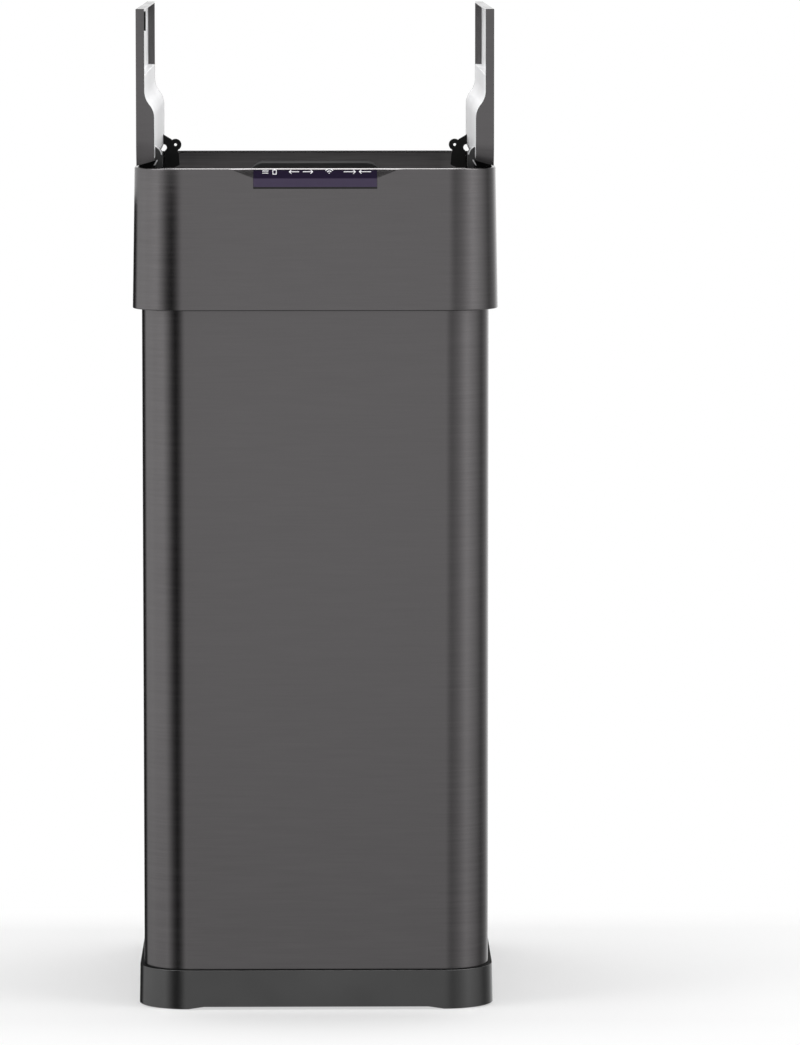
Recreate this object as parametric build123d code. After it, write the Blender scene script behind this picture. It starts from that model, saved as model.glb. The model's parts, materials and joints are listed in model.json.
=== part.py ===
from build123d import *
import math
import os

# Automatic kitchen bin with a sensor head and two wing lids, both standing open.
# Millimetres, +Z up, front towards -Y, origin on the floor under the middle of the bin.
# The left half of the head is drawn and mirrored. "Inward" distances count from the
# head's outer side at the rim, and "above rim" heights count from the rim.

# Body and base
BODY_WIDTH = 284.8
BODY_DEPTH = 341.6
BODY_CORNER = 36.7
BODY_SHEET = 0.8
BASE_HEIGHT = 32.7
BASE_SOCKET = 15.0
BASE_FLOOR = 3.0
BASE_WALL = 3.0
BASE_PROUD = 3.5
BASE_FLARE = 0.6
BASE_FIT = 0.3
FOOT_STEP = 2.5
FOOT_LENGTH = 41.0
FOOT_RAMP = 13.0
PAD_RADIUS = 12.0
PAD_PROUD = 0.6
PAD_SUNK = 1.4
PAD_INSET = 28.0
PAD_FIT = 0.1
POST_WALL = 3.0
PAN_SHEET = 1.2
PAN_RISE = 12.0
PAN_FIT = 0.3
RIVET_RADIUS = 2.0
RIVET_HEAD_RADIUS = 4.0
RIVET_HEAD_HEIGHT = 1.2
RIVET_INSET = 62.0
RIVET_FIT = 0.05

# Collar on the body's top edge
COLLAR_FLANGE = 2.0
COLLAR_LAP = 1.2
COLLAR_INSET = 8.0
COLLAR_SKIRT = 18.0
COLLAR_WALL = 1.6
COLLAR_FIT = 0.3

# Head shell
RIM_HEIGHT = 692.8
HEAD_HEIGHT = 115.7
HEAD_PROUD = 5.4
HEAD_ROUNDING = 3.3
HEAD_FLARE = 2.0
HEAD_SHEET = 1.0
HEM_THICK = 3.0
HEM_DROP = 1.5
HEM_ROUND = 1.1

# Console in the head's front
SCOOP_DIP = 8.0
SCOOP_DEPTH = 3.0
SCOOP_RUNOUT = 20.5
WINDOW_WIDTH = 100.4
WINDOW_TOP = 1.4
WINDOW_BOTTOM = 16.2
WINDOW_THICK = 2.2
WINDOW_FIT = 0.2
BEZEL_THICK = 2.0
BEZEL_MARGIN = 5.0
BEZEL_TOP = 5.4
BEZEL_FIT = 0.1
BOARD_THICK = 1.6
SENSOR_RADIUS = 2.2
SENSOR_CLEAR = 0.7
SENSOR_SPREAD = 12.0
SENSOR_FIT = 0.3
SENSOR_TIP_RADIUS = 1.2
STANDOFF_RADIUS = 3.0
STANDOFF_LENGTH = 4.0
STANDOFF_EDGE = 0.6
SENSOR_BOARD_GAP = 2.0
SENSOR_BOARD_HEIGHT = 22.0
SENSOR_CHIP_WIDTH = 22.0
SENSOR_CHIP_HEIGHT = 9.0
CHIP_THICK = 1.6

# Head frame
FRAME_FIT = 0.3
FRAME_RING = 3.0
FRAME_WALL = 2.0
LEDGE_SUNK = 0.6
LEDGE_THICK = 1.6
THROAT_CORNER = 12.0
HOUSING_DEPTH = 50.5
HUMP_CLEAR = 1.5
SHOULDER_CLEAR = 1.2
SHOULDER_SETBACK = 5.0
SHOULDER_RUN = 18.0
SKIRT_DROP = 15.0
SKIRT_WALL = 1.5
SKIRT_FIT = 0.5

# Wings, in the closed pose
WING_GAP = 1.0
WING_SUNK = 0.4
WING_HINGE = 19.4
WING_SLANT = 4.2
WING_THIN = 6.9
WING_THICK = 14.8
WING_STEP_START = 38.9
WING_STEP_RUN = 22.0
WING_SKIN = 1.2
WING_FIT = 1.2
TRAY_LENGTH = 73.3
TRAY_THICK = 2.0
TRAY_SUNK = 0.4
TRAY_FIT = 0.2
BUMPER_LENGTH = 15.6
BUMPER_OFFSET = 2.0
BUMPER_THICK = 1.3
BUMPER_WIDTH = 3.6

# Hinges
PIVOT_IN = 9.7
PIVOT_DROP = 7.9
OPEN_ANGLE = 90.0
ARM_SETBACK = 8.0
ARM_THICK = 6.0
ARM_SIDE_FIT = 0.6
ARM_SLOT_FIT = 0.6
ARM_SWING_FIT = 3.2
HUB_RADIUS = 5.0
NECK_REACH = 10.9
NECK_DROP = 0.8
NECK_RADIUS = 5.0
NECK_SLOPE_REACH = 7.3
NECK_SLOPE_RISE = 3.9
ARM_HOLE_RADIUS = 1.25
POST_REACH = 14.5
POST_LEAN = 0.8
POST_START = 1.9
ROOT_FIT = 0.4
ARM_ROOT_HEIGHT = 8.0
NOTCH_RADIUS = 2.8
NOTCH_DROP = 3.2
IDLER_ROOT_HEIGHT = 8.4
IDLER_RADIUS = 6.0
IDLER_CUT_REACH = 2.9
IDLER_CUT_DROP = 1.8
FOOT_THICK = 3.0
FOOT_HALF_WIDTH = 8.0
ARM_FOOT_LENGTH = 29.1
FOOT_FIT = 0.2
SHAFT_RADIUS = 2.5
SHAFT_FIT = 0.05
SHAFT_PRESS_FIT = 0.02
RIB_THICK = 3.4
BUSH_RADIUS = 4.0
BUSH_FIT = 0.02
SCREW_RADIUS = 1.5
SCREW_HEAD_RADIUS = 3.0
SCREW_HEAD_HEIGHT = 1.6
SCREW_FIT = 0.1
SCREW_FIRST = 11.1
SCREW_PITCH = 12.0

# Gearmotors, coaxial with the hinge
MOTOR_WIDTH = 12.0
MOTOR_SIDE_FIT = 0.4
MOTOR_TOP_FIT = 0.3
GEARBOX_LENGTH = 9.0
MOTOR_LENGTH = 15.0
SHAFT_SOCKET = 4.0

# Rear of the head
CELL_RADIUS = 13.1
CELL_LENGTH = 50.0
CELL_FIT = 0.3
CONTACT_THICK = 1.0
TRAY_WALL = 2.0
BATTERY_BACK_GAP = 2.0
BATTERY_TOP_GAP = 1.0
DOOR_THICK = 1.8
DOOR_FIT = 0.4
DOOR_LIP = 6.0
DOOR_LIP_WALL = 1.6
DOOR_MARGIN = 3.0
SOCKET_GAP = 9.4
SOCKET_DROP = 50.0
SOCKET_WIDTH = 38.0
SOCKET_HEIGHT = 20.0
SOCKET_THICK = 2.5
SOCKET_FIT = 0.2
ROCKER_WIDTH = 9.0
ROCKER_HEIGHT = 14.0
ROCKER_FIT = 0.4
ROCKER_PIVOT_DEPTH = 5.0
ROCKER_PROUD = 1.6
ROCKER_TILT = 7.0
ROCKER_OFFSET = 9.0
ROCKER_DISH = 28.0
TRUNNION_RADIUS = 1.0
TRUNNION_LENGTH = 2.0
TRUNNION_FIT = 0.06
CASE_WALL = 1.6
CASE_DEPTH = 12.0
JACK_RADIUS = 4.2
JACK_BORE = 2.8
JACK_PIN = 1.0
JACK_LENGTH = 11.0
BOARD_WIDTH = 40.0
BOARD_DEPTH = 26.0
BOARD_STAND = 4.0
BOARD_SIDE_GAP = 19.3
BOARD_CHIP = 11.0
CAPACITOR_RADIUS = 3.2
CAPACITOR_HEIGHT = 8.0
CAPACITOR_X = 14.0
CAPACITOR_Y = 6.5

# Worked-out heights and places
BASE_SHELF = BASE_HEIGHT - BASE_SOCKET
HEAD_WIDTH = BODY_WIDTH + 2 * HEAD_PROUD
HEAD_DEPTH = BODY_DEPTH + 2 * HEAD_PROUD
HEAD_CORNER = BODY_CORNER + HEAD_ROUNDING
HUMP_DROP = WING_SUNK + WING_THIN + HUMP_CLEAR
SHOULDER_DROP = WING_SUNK + WING_THICK + SHOULDER_CLEAR
CELL_PITCH = 2 * (CELL_RADIUS + CELL_FIT)
BATTERY_HEIGHT = 2 * TRAY_WALL + 2 * CELL_PITCH
GALLERY_HEIGHT = BATTERY_HEIGHT + BATTERY_TOP_GAP + FRAME_WALL + SHOULDER_DROP
HEAD_OVERLAP = HEAD_HEIGHT - COLLAR_FLANGE - FRAME_RING - GALLERY_HEIGHT
BODY_TOP = RIM_HEIGHT - HEAD_HEIGHT + HEAD_OVERLAP
RING_LOW = BODY_TOP + COLLAR_FLANGE
RING_TOP = RING_LOW + FRAME_RING
LEDGE_TOP = RIM_HEIGHT - LEDGE_SUNK
LEDGE_LOW = LEDGE_TOP - LEDGE_THICK
LEDGE_WIDTH = PIVOT_IN + MOTOR_WIDTH / 2 + MOTOR_SIDE_FIT + FRAME_WALL
THROAT_HALF_X = HEAD_WIDTH / 2 - LEDGE_WIDTH
THROAT_HALF_Y = HEAD_DEPTH / 2 - HOUSING_DEPTH
WING_TOP = RIM_HEIGHT - WING_SUNK
WING_HALF_Y = HEAD_DEPTH / 2 - HEM_THICK - SCOOP_DEPTH - WING_FIT
PIVOT_X = PIVOT_IN - HEAD_WIDTH / 2
PIVOT_Z = RIM_HEIGHT - PIVOT_DROP
STEP_FAR_X = WING_HINGE + WING_STEP_START - HEAD_WIDTH / 2
STEP_NEAR_X = STEP_FAR_X + WING_STEP_RUN
SHOULDER_HALF = -STEP_NEAR_X - SHOULDER_SETBACK
HUMP_HALF = SHOULDER_HALF - SHOULDER_RUN
SENSOR_BOARD_WIDTH = 2 * (HUMP_HALF - SENSOR_BOARD_GAP)
SENSOR_DROP = HUMP_DROP + FRAME_WALL + SENSOR_CLEAR + SENSOR_RADIUS
MOTOR_HEIGHT = 2 * (PIVOT_DROP - LEDGE_SUNK - LEDGE_THICK - MOTOR_TOP_FIT)
OPEN_FACE_IN = PIVOT_IN - PIVOT_DROP + WING_SUNK
TRAY_FACE_IN = OPEN_FACE_IN + WING_THICK - TRAY_SUNK
ARM_CLEAR_IN = OPEN_FACE_IN + WING_THICK + FOOT_FIT
SKIN_END_RISE = WING_HINGE + WING_SLANT + WING_SKIN - PIVOT_IN - PIVOT_DROP
TRAY_END_RISE = SKIN_END_RISE + TRAY_FIT + TRAY_THICK
ARM_ROOT_LOW = SKIN_END_RISE + ROOT_FIT
ARM_ROOT_HIGH = ARM_ROOT_LOW + ARM_ROOT_HEIGHT
IDLER_ROOT_HIGH = ARM_ROOT_LOW + IDLER_ROOT_HEIGHT
NECK_IN = TRAY_FACE_IN + NECK_REACH
NECK_RISE = ARM_ROOT_LOW - NECK_DROP
NOTCH_RISE = ARM_ROOT_LOW - NOTCH_DROP
POST_IN = TRAY_FACE_IN + POST_REACH
POST_LEFT_IN = TRAY_FACE_IN + POST_START
NECK_SWING = math.hypot(NECK_IN - PIVOT_IN, NECK_RISE + PIVOT_DROP) + NECK_RADIUS
ARM_SLOT_REACH = PIVOT_IN + NECK_SWING + ARM_SWING_FIT
SCREW_RISES = (TRAY_END_RISE + SCREW_FIRST, TRAY_END_RISE + SCREW_FIRST + SCREW_PITCH)
ARM_STATION = THROAT_HALF_Y + ARM_SETBACK
ARM_NEAR = ARM_STATION - ARM_THICK / 2
ARM_FAR = ARM_STATION + ARM_THICK / 2
RIB_INNER_NEAR = ARM_NEAR - ARM_SIDE_FIT - RIB_THICK
RIB_OUTER_NEAR = ARM_FAR + ARM_SIDE_FIT
SHAFT_END = RIB_OUTER_NEAR + RIB_THICK
BOARD_Y = HEAD_DEPTH / 2 - HOUSING_DEPTH / 2
HEAD_TAPER = math.degrees(math.atan(HEAD_FLARE / HEAD_HEIGHT))
BASE_TAPER = math.degrees(math.atan(BASE_FLARE / BASE_HEIGHT))


def left(inward):
    """X of a place that lies inward of the head's left side."""
    return inward - HEAD_WIDTH / 2


def above(rise):
    """Z of a place above the rim."""
    return RIM_HEIGHT + rise


def slab(width, depth, corner, low, high):
    """Upright rounded-rectangle prism between two heights."""
    return Pos(0, 0, low) * extrude(RectangleRounded(width, depth, corner), high - low)


def block(x_low, x_high, y_low, y_high, z_low, z_high):
    """Box between two corners."""
    size = Box(x_high - x_low, y_high - y_low, z_high - z_low)
    return Pos((x_low + x_high) / 2, (y_low + y_high) / 2, (z_low + z_high) / 2) * size


def rod_y(x, z, radius, y_low, y_high):
    """Round bar along Y."""
    bar = Cylinder(radius, y_high - y_low)
    return Pos(x, (y_low + y_high) / 2, z) * Rot(90, 0, 0) * bar


def rod_x(y, z, radius, x_low, x_high):
    """Round bar along X."""
    bar = Cylinder(radius, x_high - x_low)
    return Pos((x_low + x_high) / 2, y, z) * Rot(0, 90, 0) * bar


def rod_z(x, y, radius, z_low, z_high):
    """Upright round bar."""
    bar = Cylinder(radius, z_high - z_low)
    return Pos(x, y, (z_low + z_high) / 2) * bar


def side_profile(face, y_low, y_high):
    """Prism along Y of a face drawn in X and Z."""
    solid = extrude(Plane.XZ * face, -(y_high - y_low))
    return Pos(0, y_low, 0) * solid


def both_sides(shape):
    """A left-hand shape together with its mirror image."""
    return shape + mirror(shape, about=Plane.YZ)


def mirrored(shape):
    """The right-hand copy of a left-hand shape."""
    return mirror(shape, about=Plane.YZ)


def s_line(start, end):
    """Two equal tangent arcs from one level to another."""
    middle = ((start[0] + end[0]) / 2, (start[1] + end[1]) / 2)
    heading = (math.copysign(1, end[0] - start[0]), 0)
    first = TangentArc(start, middle, tangent=heading)
    second = TangentArc(middle, end, tangent=first % 1)
    return first + second


def head_size(z, inset):
    """Width, depth and corner radius of the flared head at a height, set in by a wall."""
    grow = HEAD_FLARE * (RIM_HEIGHT - z) / HEAD_HEIGHT - inset
    return HEAD_WIDTH + 2 * grow, HEAD_DEPTH + 2 * grow, HEAD_CORNER + grow


def head_prism(low, high, inset):
    """Flared solid of the head between two heights."""
    width, depth, corner = head_size(low, inset)
    outline = RectangleRounded(width, depth, corner)
    return Pos(0, 0, low) * extrude(outline, high - low, taper=HEAD_TAPER)


def front_face(z):
    """Y of the head's front face at a height."""
    return -head_size(z, 0)[1] / 2


def scoop(inset):
    """Cutter of the shallow scoop that tips the console back, set in by a wall."""
    low = RIM_HEIGHT - SCOOP_DIP
    start = (front_face(low) + inset, low)
    run = SCOOP_DEPTH - HEAD_DEPTH / 2 + inset - start[0]
    outer = (start[0] - run, low - SCOOP_DIP)
    inner = (start[0] + 2 * run, low + 2 * SCOOP_DIP)
    corners = [outer, inner, (outer[0] - HEAD_DEPTH / 2, inner[1]), (outer[0] - HEAD_DEPTH / 2, outer[1])]
    half = WINDOW_WIDTH / 2
    shift = SCOOP_DEPTH + inset

    def section(x, y_shift):
        points = [(y + y_shift, z) for y, z in corners]
        plane = Plane(origin=(x, 0, 0), x_dir=(0, 1, 0), z_dir=(1, 0, 0))
        return plane * make_face(Polyline(*points, close=True))

    middle = extrude(section(-half, 0), 2 * half)
    runout = SCOOP_RUNOUT * shift / SCOOP_DEPTH
    ramp = loft([section(half, 0), section(half + runout, -shift)], ruled=True)
    return middle + both_sides(ramp)


def head_outer():
    """Head's outer form with the scoop and the rounded rim."""
    solid = head_prism(RIM_HEIGHT - HEAD_HEIGHT, RIM_HEIGHT, 0) - scoop(0)
    rim_edges = solid.edges().group_by(Axis.Z)[-1]
    return fillet(rim_edges, HEM_ROUND)


def head_inner(inset, low, high):
    """Head's form behind a wall of a given thickness, scoop included."""
    return head_prism(low, high, inset) - scoop(inset)


def housing_line(drop):
    """Top line of the front and rear housings, lowered by a drop."""
    flat = above(-HUMP_DROP - drop)
    shoulder = above(-SHOULDER_DROP - drop)
    side = HEAD_WIDTH / 2
    left_step = s_line((-SHOULDER_HALF, shoulder), (-HUMP_HALF, flat))
    right_step = s_line((HUMP_HALF, flat), (SHOULDER_HALF, shoulder))
    runs = [
        Line((-side, shoulder), (-SHOULDER_HALF, shoulder)),
        Line((-HUMP_HALF, flat), (HUMP_HALF, flat)),
        Line((SHOULDER_HALF, shoulder), (side, shoulder)),
    ]
    return runs[0] + left_step + runs[1] + right_step + runs[2], (side, shoulder)


def under_housing_line(drop, low):
    """Face between the housing's top line and a level below it."""
    line, (side, shoulder) = housing_line(drop)
    floor = [
        Line((side, shoulder), (side, low)),
        Line((side, low), (-side, low)),
        Line((-side, low), (-side, shoulder)),
    ]
    return make_face(line.edges() + floor)


def body_slab(inset, low, high):
    """Prism of the body's outline, set in by a wall or grown by a negative one."""
    return slab(BODY_WIDTH - 2 * inset, BODY_DEPTH - 2 * inset, BODY_CORNER - inset, low, high)


def corner_places(half_x, half_y):
    """The four corners of a centred rectangle."""
    return [(sx * half_x, sy * half_y) for sx in (-1, 1) for sy in (-1, 1)]


BASE_BOTTOM_WIDTH = BODY_WIDTH + 2 * (BASE_PROUD + BASE_FLARE)
BASE_BOTTOM_DEPTH = BODY_DEPTH + 2 * (BASE_PROUD + BASE_FLARE)
BASE_CORNER = BODY_CORNER + BASE_PROUD + BASE_FLARE
PAD_PLACES = corner_places(BASE_BOTTOM_WIDTH / 2 - PAD_INSET, BASE_BOTTOM_DEPTH / 2 - PAD_INSET)
RIVET_PLACES = corner_places(BODY_WIDTH / 2 - RIVET_INSET, BODY_DEPTH / 2 - RIVET_INSET)


def foot_relief():
    """Cutters that leave a foot at each corner of the base, with sloped ends."""

    def trapezoid(half):
        low = half - FOOT_LENGTH
        high = low - FOOT_RAMP
        return make_face(Polyline((-low, 0), (-high, FOOT_STEP), (high, FOOT_STEP), (low, 0), close=True))

    across = side_profile(trapezoid(BASE_BOTTOM_WIDTH / 2), -BASE_BOTTOM_DEPTH, BASE_BOTTOM_DEPTH)
    along = side_profile(trapezoid(BASE_BOTTOM_DEPTH / 2), -BASE_BOTTOM_WIDTH, BASE_BOTTOM_WIDTH)
    return across + Rot(0, 0, 90) * along


def base_ring():
    """Moulded base: flared wall, floor plate, corner feet and pad posts."""
    outline = RectangleRounded(BASE_BOTTOM_WIDTH, BASE_BOTTOM_DEPTH, BASE_CORNER)
    solid = Pos(0, 0, PAD_PROUD) * extrude(outline, BASE_HEIGHT - PAD_PROUD, taper=BASE_TAPER)
    wall = 2 * BASE_WALL
    plate = BASE_SHELF - BASE_FLOOR
    under = slab(BASE_BOTTOM_WIDTH - wall, BASE_BOTTOM_DEPTH - wall, BASE_CORNER - BASE_WALL, 0, plate)
    posts = Part()
    for x, y in PAD_PLACES:
        posts += rod_z(x, y, PAD_RADIUS + POST_WALL, PAD_PROUD, plate)
    socket = body_slab(-BASE_FIT, BASE_SHELF, 2 * BASE_HEIGHT)
    solid = solid - foot_relief() - (under - posts) - socket
    for x, y in PAD_PLACES:
        solid -= rod_z(x, y, PAD_RADIUS + PAD_FIT, 0, PAD_PROUD + PAD_SUNK)
    for x, y in RIVET_PLACES:
        solid -= rod_z(x, y, RIVET_RADIUS + RIVET_FIT, 0, 2 * BASE_HEIGHT)
    return solid


def foot_pads():
    """Four rubber pads let into the corner posts."""
    return [rod_z(x, y, PAD_RADIUS, 0, PAD_PROUD + PAD_SUNK) for x, y in PAD_PLACES]


def body_shell():
    """Sheet-steel sleeve."""
    return body_slab(0, BASE_SHELF, BODY_TOP) - body_slab(BODY_SHEET, BASE_SHELF, BODY_TOP)


def floor_pan():
    """Shallow tray that closes the sleeve's lower end."""
    inset = BODY_SHEET + PAN_FIT
    top = BASE_SHELF + PAN_RISE
    solid = body_slab(inset, BASE_SHELF, top) - body_slab(inset + PAN_SHEET, BASE_SHELF + PAN_SHEET, top)
    for x, y in RIVET_PLACES:
        solid -= rod_z(x, y, RIVET_RADIUS + RIVET_FIT, 0, 2 * BASE_HEIGHT)
    return solid


def floor_rivets():
    """Rivets through the floor pan and the base's floor plate."""
    low = BASE_SHELF - BASE_FLOOR
    high = BASE_SHELF + PAN_SHEET
    rivets = []
    for x, y in RIVET_PLACES:
        rivet = rod_z(x, y, RIVET_RADIUS, low, high)
        rivet += rod_z(x, y, RIVET_HEAD_RADIUS, low - RIVET_HEAD_HEIGHT, low)
        rivet += rod_z(x, y, RIVET_HEAD_RADIUS, high, high + RIVET_HEAD_HEIGHT)
        rivets.append(rivet)
    return rivets


def top_collar():
    """Collar on the sleeve's top edge that holds the bag and carries the head."""
    inset = BODY_SHEET + COLLAR_FIT
    low = BODY_TOP - COLLAR_SKIRT
    flange = body_slab(-COLLAR_LAP, BODY_TOP, RING_LOW)
    skirt = body_slab(inset, low, BODY_TOP) - body_slab(inset + COLLAR_WALL, low, BODY_TOP)
    return flange + skirt - body_slab(BODY_SHEET + COLLAR_INSET, BODY_TOP, RING_LOW)


def window_block(margin):
    """Box round the console window, grown by a margin."""
    half = WINDOW_WIDTH / 2 + margin
    face = front_face(RIM_HEIGHT - HEAD_HEIGHT)
    return block(
        -half, half, face, -THROAT_HALF_Y, above(-WINDOW_BOTTOM - margin), above(-WINDOW_TOP + margin)
    )


BATTERY_LOW = RING_TOP
BATTERY_HIGH = BATTERY_LOW + BATTERY_HEIGHT
BATTERY_HALF_X = CELL_LENGTH + 2 * CELL_FIT + CONTACT_THICK + TRAY_WALL
BATTERY_BACK = HEAD_DEPTH / 2 - HEAD_SHEET - BATTERY_BACK_GAP
BATTERY_FRONT = BATTERY_BACK - CELL_PITCH - DOOR_LIP - TRAY_WALL
DOOR_LOW = BATTERY_LOW + TRAY_WALL - DOOR_MARGIN / 2
DOOR_HIGH = BATTERY_HIGH - TRAY_WALL + DOOR_MARGIN / 2
DOOR_HALF_X = BATTERY_HALF_X - TRAY_WALL + DOOR_MARGIN / 2
SOCKET_CENTRE = BATTERY_HALF_X + SOCKET_GAP + SOCKET_WIDTH / 2
BOARD_CENTRE = THROAT_HALF_X - BOARD_SIDE_GAP - BOARD_WIDTH / 2
SOCKET_Z = above(-SOCKET_DROP)
SOCKET_FACE = head_size(SOCKET_Z, 0)[1] / 2


def door_block(margin):
    """Box through the head's rear wall at the battery door."""
    half = DOOR_HALF_X + margin
    return block(-half, half, BATTERY_FRONT, HEAD_DEPTH, DOOR_LOW - margin, DOOR_HIGH + margin)


def socket_block(margin):
    """Box through the head's rear wall at the socket plate."""
    half = SOCKET_WIDTH / 2 + margin
    return block(
        SOCKET_CENTRE - half, SOCKET_CENTRE + half, BATTERY_FRONT, HEAD_DEPTH,
        SOCKET_Z - SOCKET_HEIGHT / 2 - margin, SOCKET_Z + SOCKET_HEIGHT / 2 + margin,
    )


def head_shell():
    """Flared sheet-steel head skin with a rolled rim, console window and rear openings."""
    bottom = RIM_HEIGHT - HEAD_HEIGHT
    void = head_inner(HEAD_SHEET, bottom, RIM_HEIGHT - HEM_DROP)
    hem_void = slab(
        HEAD_WIDTH - 2 * HEM_THICK, HEAD_DEPTH - 2 * HEM_THICK, HEAD_CORNER - HEM_THICK,
        RIM_HEIGHT - HEM_DROP, RIM_HEIGHT,
    ) - scoop(HEM_THICK)
    solid = head_outer() - void - hem_void
    return solid - window_block(WINDOW_FIT) - door_block(DOOR_FIT) - socket_block(SOCKET_FIT)


def console_window():
    """Smoked window bent over the edge of the scoop."""
    bottom = RIM_HEIGHT - HEAD_HEIGHT
    layer = head_outer() - head_inner(WINDOW_THICK, bottom, RIM_HEIGHT)
    return layer & window_block(0)


def sensor_places():
    """X of the infrared sensors behind the window."""
    return [-SENSOR_SPREAD, 0, SENSOR_SPREAD]


BEZEL_BACK = HEAD_DEPTH / 2 - WINDOW_THICK - BEZEL_THICK
BOARD_FRONT = -BEZEL_BACK + STANDOFF_LENGTH
STANDOFF_X = SENSOR_BOARD_WIDTH / 2 - 2 * STANDOFF_RADIUS
STANDOFF_Z = above(-WINDOW_BOTTOM - BEZEL_MARGIN + STANDOFF_EDGE + STANDOFF_RADIUS)


def console_bezel():
    """Moulding behind the window, with sensor holes and two posts for the board."""
    bottom = RIM_HEIGHT - HEAD_HEIGHT
    layer = head_inner(HEAD_SHEET + BEZEL_FIT, bottom, RIM_HEIGHT)
    layer -= head_inner(WINDOW_THICK + BEZEL_THICK, bottom, RIM_HEIGHT)
    half = WINDOW_WIDTH / 2 + BEZEL_MARGIN
    reach = block(
        -half, half, -HEAD_DEPTH, -THROAT_HALF_Y, above(-WINDOW_BOTTOM - BEZEL_MARGIN), above(-BEZEL_TOP)
    )
    seat = window_block(WINDOW_FIT) & (
        head_prism(bottom, RIM_HEIGHT, 0) - head_inner(WINDOW_THICK, bottom, RIM_HEIGHT)
    )
    solid = (layer & reach) - seat
    for side in (-1, 1):
        start = -BEZEL_BACK - BEZEL_THICK / 2
        solid += rod_y(side * STANDOFF_X, STANDOFF_Z, STANDOFF_RADIUS, start, BOARD_FRONT)
    for x in sensor_places():
        solid -= rod_y(x, above(-SENSOR_DROP), SENSOR_RADIUS + SENSOR_FIT, -HEAD_DEPTH, BOARD_FRONT)
    return solid


def sensor_board():
    """Circuit board on the bezel's posts."""
    top = above(-HUMP_DROP - FRAME_WALL - FRAME_FIT)
    half = SENSOR_BOARD_WIDTH / 2
    board = block(-half, half, BOARD_FRONT, BOARD_FRONT + BOARD_THICK, top - SENSOR_BOARD_HEIGHT, top)
    rear = BOARD_FRONT + BOARD_THICK
    middle = top - SENSOR_BOARD_HEIGHT / 2
    chip = block(
        -SENSOR_CHIP_WIDTH / 2, SENSOR_CHIP_WIDTH / 2, rear, rear + CHIP_THICK,
        middle - SENSOR_CHIP_HEIGHT / 2, middle + SENSOR_CHIP_HEIGHT / 2,
    )
    return board + chip


def ir_sensors():
    """Infrared emitters and receiver with tapered tips, behind the window's lower zone."""
    tip = front_face(above(-SENSOR_DROP)) + WINDOW_THICK + 2 * SENSOR_FIT
    shoulder = tip + SENSOR_RADIUS
    lenses = []
    for x in sensor_places():
        lens = rod_y(x, above(-SENSOR_DROP), SENSOR_RADIUS, shoulder, BOARD_FRONT)
        taper = Cone(SENSOR_RADIUS, SENSOR_TIP_RADIUS, SENSOR_RADIUS)
        place = Pos(x, (tip + shoulder) / 2, above(-SENSOR_DROP))
        lenses.append(lens + place * Rot(90, 0, 0) * taper)
    return lenses


def hinge_rib(near):
    """Left web under the ledge that carries a hinge bush."""
    outer = left(HEAD_SHEET + FRAME_FIT)
    low = above(-SHOULDER_DROP - FRAME_WALL / 2)
    return block(outer, left(LEDGE_WIDTH), near, near + RIB_THICK, low, LEDGE_LOW)


def arm_pocket(sign):
    """Left slot that a hinge arm swings through."""
    low = ARM_NEAR - ARM_SLOT_FIT
    high = ARM_FAR + ARM_SLOT_FIT
    y_low, y_high = (low, high) if sign > 0 else (-high, -low)
    return block(left(0), left(ARM_SLOT_REACH), y_low, y_high, RING_TOP, RIM_HEIGHT)


def board_posts():
    """Posts on the ring plate that carry the control board."""
    places = corner_places(BOARD_WIDTH / 2 - STANDOFF_RADIUS, BOARD_DEPTH / 2 - STANDOFF_RADIUS)
    low = RING_TOP - FRAME_RING / 2
    posts = Part()
    for x, y in places:
        posts += rod_z(x - BOARD_CENTRE, y + BOARD_Y, STANDOFF_RADIUS, low, RING_TOP + BOARD_STAND)
    return posts


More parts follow.
